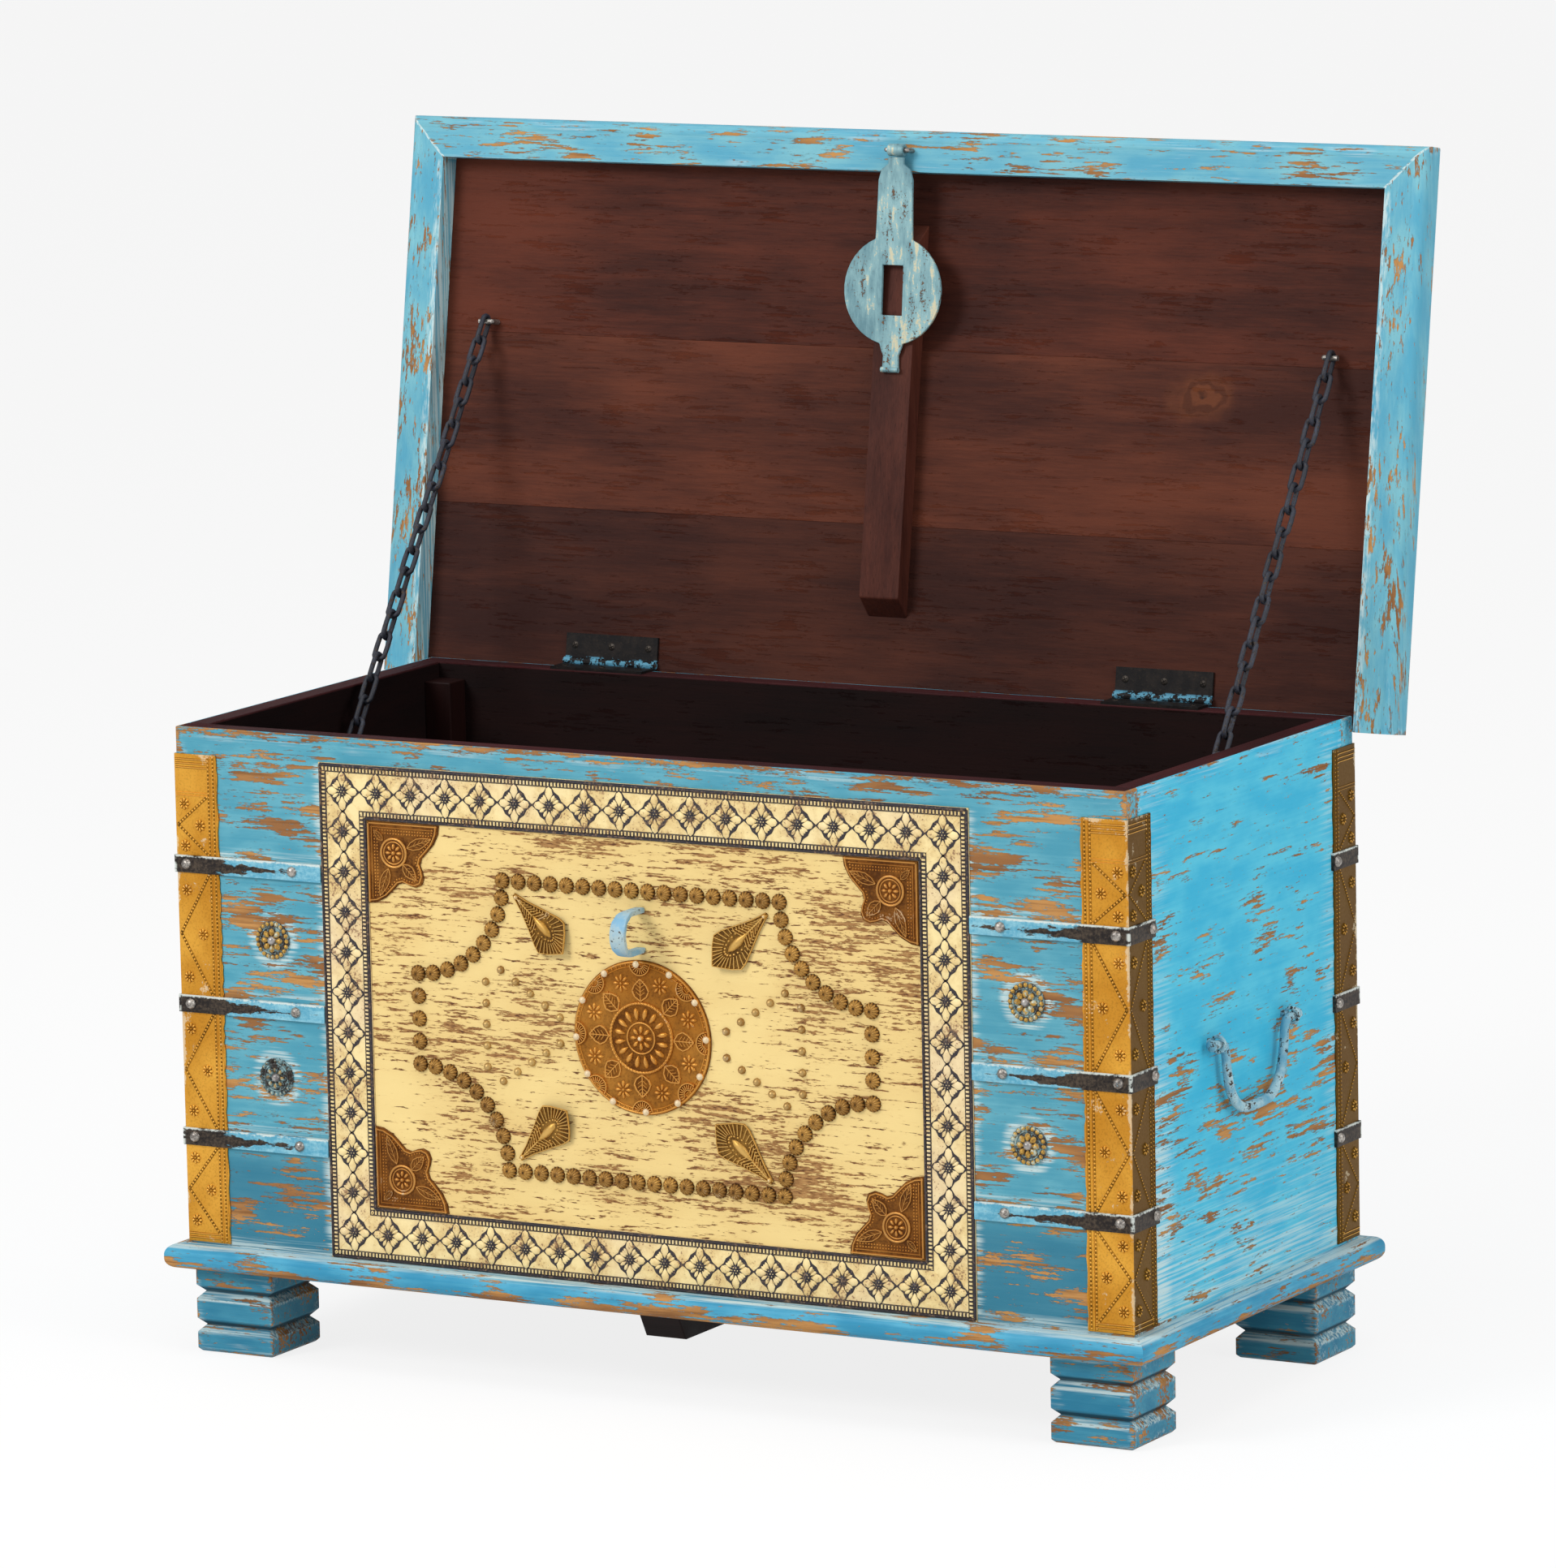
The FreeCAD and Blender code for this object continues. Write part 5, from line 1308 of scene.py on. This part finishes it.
handle_paint = chipped_blue("handle_paint", 0.046, 15.0, tint(92, 156, 182), tint(170, 200, 206),
                            (230, 110, 110))
bail_x = 0.459
bail_z = 0.311
eye_y = 0.068
knob_x = 0.4585
knob_y = 0.0775
half_bail = [(0.077, 0.0), (0.0605, 0.0), (0.0545, -0.006), (0.0525, -0.026), (0.0455, -0.047),
             (0.028, -0.0605), (0.009, -0.0620)]
half_girths = [0.9, 0.9, 0.9, 0.95, 1.0, 1.05, 1.05]
bail_run = half_bail + [(-y, z) for y, z in reversed(half_bail)]
for side, hand in (("right", 1), ("left", -1)):
    bail_points = [(hand * bail_x, y, bail_z + z) for y, z in bail_run]
    bail = rod(side + "_bail", bail_points, 0.0042, False, half_girths + half_girths[::-1])
    settle(bail, in_place, handle_paint, side + "_handle", "painted_iron", side + "_handle")
    eyes = []
    for end in (-1, 1):
        y = end * eye_y
        ring_run = [(hand * (bail_x + at.x), y, bail_z + at.y) for at in circle(8, 0.0067)]
        shank = [(hand * x, y, bail_z + z) for x, z in ((0.4495, 0.001), (0.4525, 0.0012), (0.4545, 0))]
        eyes += [rod("eye_ring", ring_run, 0.0016, True), rod("eye_shank", shank, 0.0034)]
        clear_all()
        bpy.ops.mesh.primitive_uv_sphere_add(segments=12, ring_count=8, radius=0.0046,
                                             location=(hand * knob_x, end * knob_y, bail_z))
        knob = bpy.context.object
        bpy.ops.object.transform_apply()
        choose_points(knob, lambda co: abs(co.y) > 0.079)
        bpy.ops.transform.resize(value=(1.15, 0.8, 1.1))
        eyes.append(smooth())
    settle(joined(side + "_eyes_forged", eyes), in_place, handle_paint, "case", "painted_iron",
           side + "_handle_eyes")


# Lid rails: a mitred front rail and two side rails with rounded outer edges, painted like the case, rubbed
# brown on the edges and left with bright lines of filler at the mitres.
joints = {joint["name"]: joint for joint in frame["joints"]}
hinge_at = Vector(joints["lid_hinge"]["pos_m"])
lid_swing = joints["lid_hinge"]["range_deg"][1]
lid_lean = math.radians(lid_swing - 90)
rail_outer_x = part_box("lid_right_rail")[1].x
rail_inner_x = rail_outer_x - 0.036


def lid_depth(y, z):
    """How far a point lies from the hinge line towards the outside of the lid."""
    return (y - hinge_at.y) * math.cos(lid_lean) - (z - hinge_at.z) * math.sin(lid_lean)


def lid_reach(y, z):
    """How far a point lies from the hinge line towards the lid's front rail."""
    return (y - hinge_at.y) * math.sin(lid_lean) + (z - hinge_at.z) * math.cos(lid_lean)


def rail_haze(x, y, z):
    """Filler along the mitres and dry paint beside the inner edges."""
    up = lid_reach(y, z)
    mitre = abs((rail_outer_x - abs(x)) - (0.472 - up))
    beside = abs(abs(x) - rail_inner_x).ramp(0.012, 0.0) * up.ramp(0.436, 0.430) * 0.7
    return mitre.ramp(0.0022, 0.0006) * (up - 0.43).ramp(0.0, 0.001) | beside


for rail, grain, shift in (("lid_front_rail", 0, 121.0), ("lid_right_rail", 2, 127.0),
                           ("lid_left_rail", 2, 133.0)):
    paint_wood(rail, rail + "_paint", 0.0014, grain, shift, tint(82, 156, 182), tint(118, 178, 190), 0.014,
               0.54, haze=rail_haze)


# Lid panel: three wide boards between the rails, stained dark towards the case and painted like it outside,
# with a knot in the middle one. A batten with bevelled ends is fixed across their inner face.
def knotted(colour, place, x, z):
    """A knot in the middle board: pale round it, with wandering rings and a dark heart."""
    wander = place.cloud(38, 3, 0.5, 153.0)
    out = (x - 0.290) * 0.6
    up = z - 0.795
    square = out * out + up * up
    far = square.maths("SQRT", square) + (wander - 0.5) * 0.028
    turns = far * 700
    rings = far.ramp(0.020, 0.010) * turns.maths("SINE", turns).ramp(-0.4, 0.9)
    colour = (far.ramp(0.026, 0.006) * 0.6).blend(colour, tint(112, 62, 36))
    colour = (rings * 0.5).blend(colour, tint(50, 21, 14))
    return far.ramp(0.005, 0.001).blend(colour, tint(26, 11, 8))


panel_outside = max(lid_depth(point.co.y, point.co.z) for point in nodes["lid_middle_board"].data.vertices)
panel_rear = min(lid_reach(point.co.y, point.co.z) for point in nodes["lid_rear_board"].data.vertices)


def lid_inside(shift, light, dark):
    """The stained inner face of one board."""
    def inner_face(place, x, y, z):
        inner = lid_depth(y, z).ramp(panel_outside - 0.0008, panel_outside - 0.0014)
        inner = inner * lid_reach(y, z).ramp(panel_rear + 0.0008, panel_rear + 0.0014)
        return inner, knotted(stain(place, 0, shift, light, dark), place, x, z)

    return inner_face


for board, shift, light, dark in (("lid_front_board", 141.0, tint(92, 44, 29), tint(50, 22, 16)),
                                  ("lid_middle_board", 147.0, tint(98, 50, 33), tint(56, 26, 19)),
                                  ("lid_rear_board", 156.0, tint(82, 42, 29), tint(48, 22, 17))):
    paint_wood(board, board + "_finish", 0.0008, 0, shift, tint(66, 158, 188), tint(98, 178, 200), 0.012, 0.5,
               inside=lid_inside(shift, light, dark))
dress(["lid_batten"], stained_wood("batten_stain", 2, 159.0, tint(92, 48, 36), tint(54, 24, 18)), 0.0012)


# Butt hinges: dark bronze leaves on rim and lid with rolled knuckles on a steel pin. Each leaf is held by
# three cross-slotted screws.
def bronze_finish():
    finish, shader, place = new_finish("hinge_bronze")
    x, y, z = place.parts()
    fine = place.cloud(500, 4, 0.6, 4.0)
    patch = place.cloud(90, 4, 0.6, 8.0)
    base = patch.ramp(0.4, 0.65).blend(tint(20, 18, 19), tint(34, 29, 27))
    colour = (fine.ramp(0.55, 0.75) * 0.3).blend(base, tint(80, 66, 50))
    out = y - hinge_at.y
    up = z - hinge_at.z
    knuckle = (out * out + up * up).ramp(0.000030, 0.000016)
    smear = knuckle * (patch * 0.7 + fine * 0.3).ramp(0.49, 0.53)
    smear.blend(colour, tint(84, 142, 166)).feed(shader, "Base Color")
    (0.3 - smear * 0.28).feed(shader, "Metallic")
    (0.42 + fine * 0.25).feed(shader, "Roughness")
    (fine + patch).bump(shader, 0.3, 0.0004)
    shader.inputs["Specular IOR Level"].default_value = 0.2
    return finish


dress(["left_hinge_case_leaf", "right_hinge_case_leaf", "left_hinge_lid_leaf", "right_hinge_lid_leaf"],
      bronze_finish())
pin_steel = steel_finish("pin_steel", -0.2, tint(150, 144, 136), tint(90, 84, 80))
dress(["left_hinge_pin", "right_hinge_pin"], pin_steel)


def slotted_screws(name, node, up, body, placing):
    """Low dome heads with a cross slot drawn as dark strips of painted shade, on the face of one leaf of both
    hinges.
    """
    forms = []
    for x in screw_x:
        spot = Matrix.Translation((x, screw_y, hinge_at.z - up * 0.0017)) @ Matrix.Diagonal((1, up, up, 1))
        screw = [stamp(bead, (0, 0), (0.0068, 0.0068, 0.0018), 0, 0, 0.7)]
        # Painted shade: the cross slot is two thin dark strips on the head, standing in for a cut slot.
        screw += [stamp(ridge, (0, 0), (0.0044, 0.0009, 0.00025), turn, 0.00075, 0.0) for turn in (25, 115)]
        for form in screw:
            form.data.transform(spot)
        forms += screw
    settle(joined(name, forms), placing, screw_metal, body, "dark_bronze", node)


screw_metal = antique_brass("screw_bronze", tint(74, 68, 62), tint(48, 43, 40), tint(15, 13, 13), 0.0, 67.0)
lid_open = (Matrix.Translation(hinge_at) @ Matrix.Rotation(math.radians(-lid_swing), 4, "X")
            @ Matrix.Translation(-hinge_at))
screw_y = hinge_at.y - 0.0245 + 0.01025
screw_x = [side * 0.270 + step * 0.0368 for side in (-1, 1) for step in (-1, 0, 1)]
slotted_screws("case_leaf_screws", "hinge_case_screws", 1, "case", in_place)
slotted_screws("lid_leaf_screws", "hinge_lid_screws", -1, "lid", lid_open)


# Hasp: forged flat iron, hung by a rolled eye from a bright wire staple in the front rail. A slotted disc
# takes the front staple and a fish tail gives the fingers a hold. Grey-blue and cream streaked paint is left
# on it.
def hasp_form(disc_drop, disc_radius, tail_drop):
    """Plate hung from the origin on the flat, with a slot cut through its disc."""
    shank = [(-0.0075, -0.006), (-0.0075, -0.012), (-0.014, -0.017), (-0.0165, -0.026), (-0.0172, -0.060)]
    turn_in = math.asin(0.0178 / disc_radius)
    turns = [turn_in + (math.pi - turn_in - 0.24) * i / 18 for i in range(19)]
    arc = [(-math.sin(turn) * disc_radius, -disc_drop + math.cos(turn) * disc_radius) for turn in turns]
    low = -disc_drop - disc_radius
    tail = [(-0.0095, low - 0.004), (-0.0072, low - 0.009), (-0.0074, -tail_drop + 0.009),
            (-0.0078, -tail_drop)]
    left = shank + arc + tail
    form = plate(left + [(-x, y) for x, y in reversed(left)], -0.0015, 0.0015, 0.0004, 0.5)
    clear_all()
    bpy.ops.mesh.primitive_cube_add(size=1, location=(0, -disc_drop, 0))
    cutter = bpy.context.object
    edit_all()
    bpy.ops.transform.resize(value=(0.020, 0.043, 0.02))
    clear_all()
    form.select_set(True)
    bpy.context.view_layer.objects.active = form
    cut = form.modifiers.new("slot", "BOOLEAN")
    cut.object = cutter
    cut.operation = "DIFFERENCE"
    cut.solver = "EXACT"
    bpy.ops.object.modifier_apply(modifier="slot")
    bpy.data.objects.remove(cutter)
    ease_edges(form, 0.0006, 2, 50)
    return form


def rolled_eye(length, inner, outer):
    """Tube along the first axis with an open bore."""
    clear_all()
    bpy.ops.mesh.primitive_cylinder_add(vertices=28, radius=outer, depth=length, end_fill_type="NOTHING",
                                        rotation=(0, math.pi / 2, 0))
    eye = bpy.context.object
    bpy.ops.object.transform_apply()
    wall = eye.modifiers.new("wall", "SOLIDIFY")
    wall.thickness = outer - inner
    wall.offset = -1
    bpy.ops.object.modifier_apply(modifier="wall")
    ease_edges(eye, 0.0005, 1, 50)
    return mark(smooth(40), 0.5)


def tail_roll(drop_to):
    """The tail's end, rolled over towards the front."""
    clear_all()
    bpy.ops.mesh.primitive_cylinder_add(vertices=16, radius=0.003, depth=0.0156, rotation=(0, math.pi / 2, 0),
                                        location=(0, -0.0016, -drop_to))
    roll = bpy.context.object
    bpy.ops.object.transform_apply()
    choose_points(roll, lambda co: abs(co.x) > 0.007)
    bpy.ops.transform.resize(value=(1.06, 0.8, 0.8))
    return mark(smooth(40), 0.5)


def hasp_paint():
    finish, shader, place = new_finish("hasp_streaked_paint")
    streak = place.cloud((160, 160, 34), 5, 0.62, 3.0)
    broad = place.cloud((26, 26, 14), 3, 0.5, 6.0)
    fine = place.cloud(520, 4, 0.6, 9.0)
    coat = (streak * 0.5 + broad * 0.5).ramp(0.38, 0.62).blend(tint(88, 128, 138), tint(138, 176, 180))
    coat = (streak * 0.55 + fine * 0.2 + broad * 0.25).ramp(0.55, 0.60).blend(coat, tint(196, 190, 160))
    chip = (fine * 0.4 + (1 - streak) * 0.45 + broad * 0.15).ramp(0.56, 0.585)
    iron = fine.ramp(0.4, 0.7).blend(tint(64, 52, 46), tint(112, 84, 58))
    chip.blend(coat, iron).feed(shader, "Base Color")
    (0.2 + chip * 0.3).feed(shader, "Metallic")
    (0.42 + fine * 0.25).feed(shader, "Roughness")
    ((1 - chip) + fine * 0.6 + streak * 0.4).bump(shader, 0.45, 0.0006)
    return finish


hasp_at = Vector(joints["hasp_swing"]["pos_m"])
hasp_tilt = math.radians(-5.815)
tail_drop = 0.188
upright = Matrix(((1, 0, 0, 0), (0, 0, -1, 0), (0, 1, 0, 0), (0, 0, 0, 1)))
hasp_flat = hasp_form(0.120, 0.047, tail_drop)
hasp_flat.data.transform(upright)
hasp_forms = [hasp_flat, rolled_eye(0.015, 0.0023, 0.0053), tail_roll(tail_drop)]
settle(joined("hasp_forged", hasp_forms), Matrix.Translation(hasp_at) @ Matrix.Rotation(hasp_tilt, 4, "X"),
       hasp_paint(), "hasp", "painted_iron", "hasp")

rail_face_z = 0.5258
root_z = rail_face_z + 0.001
bar_z = rail_face_z - 0.009
wire_points = [(-0.0105, root_z), (-0.0105, bar_z), (-0.0103, bar_z), (0.0103, bar_z), (0.0105, bar_z),
               (0.0105, root_z)]
wire_staple = rod("hasp_wire_staple", [(x, -0.242, z) for x, z in wire_points], 0.002)
settle(wire_staple, lid_open, steel_finish("staple_steel", -0.05), "lid", "bright_steel", "hasp_staple")


# Lid chains: oval links of round wire, each turned a quarter from the last and interlocked, pulled straight
# between a hook in the lid and a peg in the side wall. Blue-black, with rubbed spots.
def oval_link(bow, wire, straight):
    clear_all()
    bpy.ops.mesh.primitive_torus_add(major_radius=bow, minor_radius=wire, major_segments=20, minor_segments=8)
    form = bpy.context.object
    choose_points(form, lambda co: co.x > 1e-5)
    bpy.ops.transform.translate(value=(straight, 0, 0))
    choose_points(form, lambda co: co.x < -1e-5)
    bpy.ops.transform.translate(value=(-straight, 0, 0))
    return smooth()


chain_iron = chipped_blue("chain_iron", 0.05, 25.0, tint(24, 27, 38), tint(44, 48, 62), 300)
chain_x = 0.412
peg_z = 0.480
hook_y = hinge_at.y - 0.293
panel_z = hinge_at.z + 0.0039
hook_z = panel_z - 0.010
wall_point = Vector((chain_x, 0.0, peg_z))
lid_point = lid_open @ Vector((chain_x, hook_y, hook_z))
pull = (wall_point - lid_point).normalized()
links = 21
play = 0.00025
hook_wire = 0.0024
link_wire = 0.0022
link_bow = 0.0053
link_half = ((wall_point - lid_point).length + 2 * hook_wire + (links + 1) * play) / (2 * links)
link = oval_link(link_bow, link_wire, link_half + link_wire - link_bow)
for side, hand in (("right", 1), ("left", -1)):
    forms = []
    for i in range(links):
        middle = lid_point + pull * (link_half - play - hook_wire + i * (2 * link_half - play))
        across = Vector((1, 0, 0)) if i % 2 else pull.cross(Vector((1, 0, 0)))
        turn = Matrix((pull, across, pull.cross(across))).transposed().to_4x4()
        forms.append(copy_of(link, Matrix.Diagonal((hand, 1, 1, 1)) @ Matrix.Translation(middle) @ turn))
    chain = joined(side + "_chain_links", forms)
    chain.data.materials.append(chain_iron)
    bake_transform(chain)
    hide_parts(side + "_lid_chain")
put_away(link)

hooks = []
pegs = []
inner_x = chain_x - 0.0065
for hand in (-1, 1):
    hook_run = [(inner_x, panel_z + 0.001), (inner_x, hook_z), (inner_x + 0.0003, hook_z),
                (inner_x + 0.013, hook_z)]
    hooks.append(rod("lid_hook", [(hand * x, hook_y, z) for x, z in hook_run], hook_wire))
    for name, run, radius in (("wall_peg", (0.4295, 0.418, 0.4062), hook_wire),
                              ("peg_head", (0.4062, 0.4056, 0.4048), 0.0048)):
        pegs.append(rod(name, [(hand * x, 0, peg_z) for x in run], radius))
settle(joined("lid_hooks_bent", hooks), lid_open, steel_finish("hook_steel", -0.05, shift=7.0), "lid",
       "painted_iron", "lid_chain_hooks")
settle(joined("wall_pegs_headed", pegs), in_place, steel_finish("peg_steel", -0.05, shift=9.0), "case",
       "painted_iron", "wall_chain_pegs")
put_away(drop, bead, ridge)


# Floor, light and camera: a pale studio floor that keeps a soft shadow, large soft lamps, and the
# photographed three-quarter view from the front right.
clear_all()
bpy.ops.mesh.primitive_plane_add(size=120, location=(0, 0, -0.0002))
floor = bpy.context.object
floor.name = "studio_floor"
floor_finish, floor_shader = new_finish("floor_white")[:2]
floor_shader.inputs["Base Color"].default_value = (0.9, 0.9, 0.9, 1)
floor_shader.inputs["Roughness"].default_value = 0.9
floor_tree = floor_finish.node_tree
rays = floor_tree.nodes.new("ShaderNodeLightPath")
seen = Signal(floor_tree, rays.outputs["Is Camera Ray"]) | Signal(floor_tree, rays.outputs["Is Glossy Ray"])
seen = seen | Signal(floor_tree, rays.outputs["Is Transmission Ray"])
glow = seen.node("ShaderNodeEmission", {}, {"Color": (1, 1, 1, 1), "Strength": 1.0})
matt = Signal(floor_tree, floor_shader.outputs[0])
mixed = seen.node("ShaderNodeMixShader", {}, {0: seen * 0.84, 1: matt, 2: glow})
floor_tree.links.new(mixed.socket, floor_tree.nodes["Material Output"].inputs["Surface"])
floor.data.materials.append(floor_finish)

world = bpy.data.worlds.new("studio")
bpy.context.scene.world = world
world.use_nodes = True
sky = world.node_tree
backdrop = sky.nodes["Background"]
backdrop.inputs["Color"].default_value = (1, 1, 1, 1)
paths = sky.nodes.new("ShaderNodeLightPath")
(0.5 + Signal(sky, paths.outputs["Is Camera Ray"]) * 0.5).feed(backdrop, "Strength")


def lamp(name, spot, aim, size, power):
    """A large soft lamp that looks at a point."""
    bpy.ops.object.light_add(type="AREA", location=spot)
    made = bpy.context.object
    made.name = name
    made.data.shape = "DISK"
    made.data.size = size
    made.data.energy = power
    made.rotation_euler = (Vector(aim) - Vector(spot)).to_track_quat("-Z", "Y").to_euler()


clear_all()
lamp("key_lamp", (-2.2, -4.2, 3.6), (0, 0, 0.5), 2.2, 170)
lamp("side_lamp", (4.6, -0.8, 2.6), (0, 0, 0.4), 2.6, 80)
lamp("top_lamp", (0.5, -0.5, 4.5), (0, 0, 0.3), 3.0, 50)

yaw, pitch, roll = (math.radians(a) for a in (29.390, 9.342, -1.2017))
right = Vector((math.cos(yaw), math.sin(yaw), 0))
ahead = Vector((-math.sin(yaw) * math.cos(pitch), math.cos(yaw) * math.cos(pitch), -math.sin(pitch)))
up = right.cross(ahead)
turned_right = math.cos(roll) * right + math.sin(roll) * up
turned_up = -math.sin(roll) * right + math.cos(roll) * up
camera_spot = 0.01334 * right + Vector((0, 0, 0.48606)) - ahead * 7.7844
camera_turn = Matrix((turned_right, turned_up, -ahead)).transposed().to_4x4()
bpy.ops.object.camera_add()
camera = bpy.context.object
camera.matrix_world = Matrix.Translation(camera_spot) @ camera_turn
camera.data.lens = 212.7
camera.data.sensor_width = 36.0
camera.data.clip_end = 100
bpy.context.scene.camera = camera
bpy.context.scene.view_settings.view_transform = "Standard"
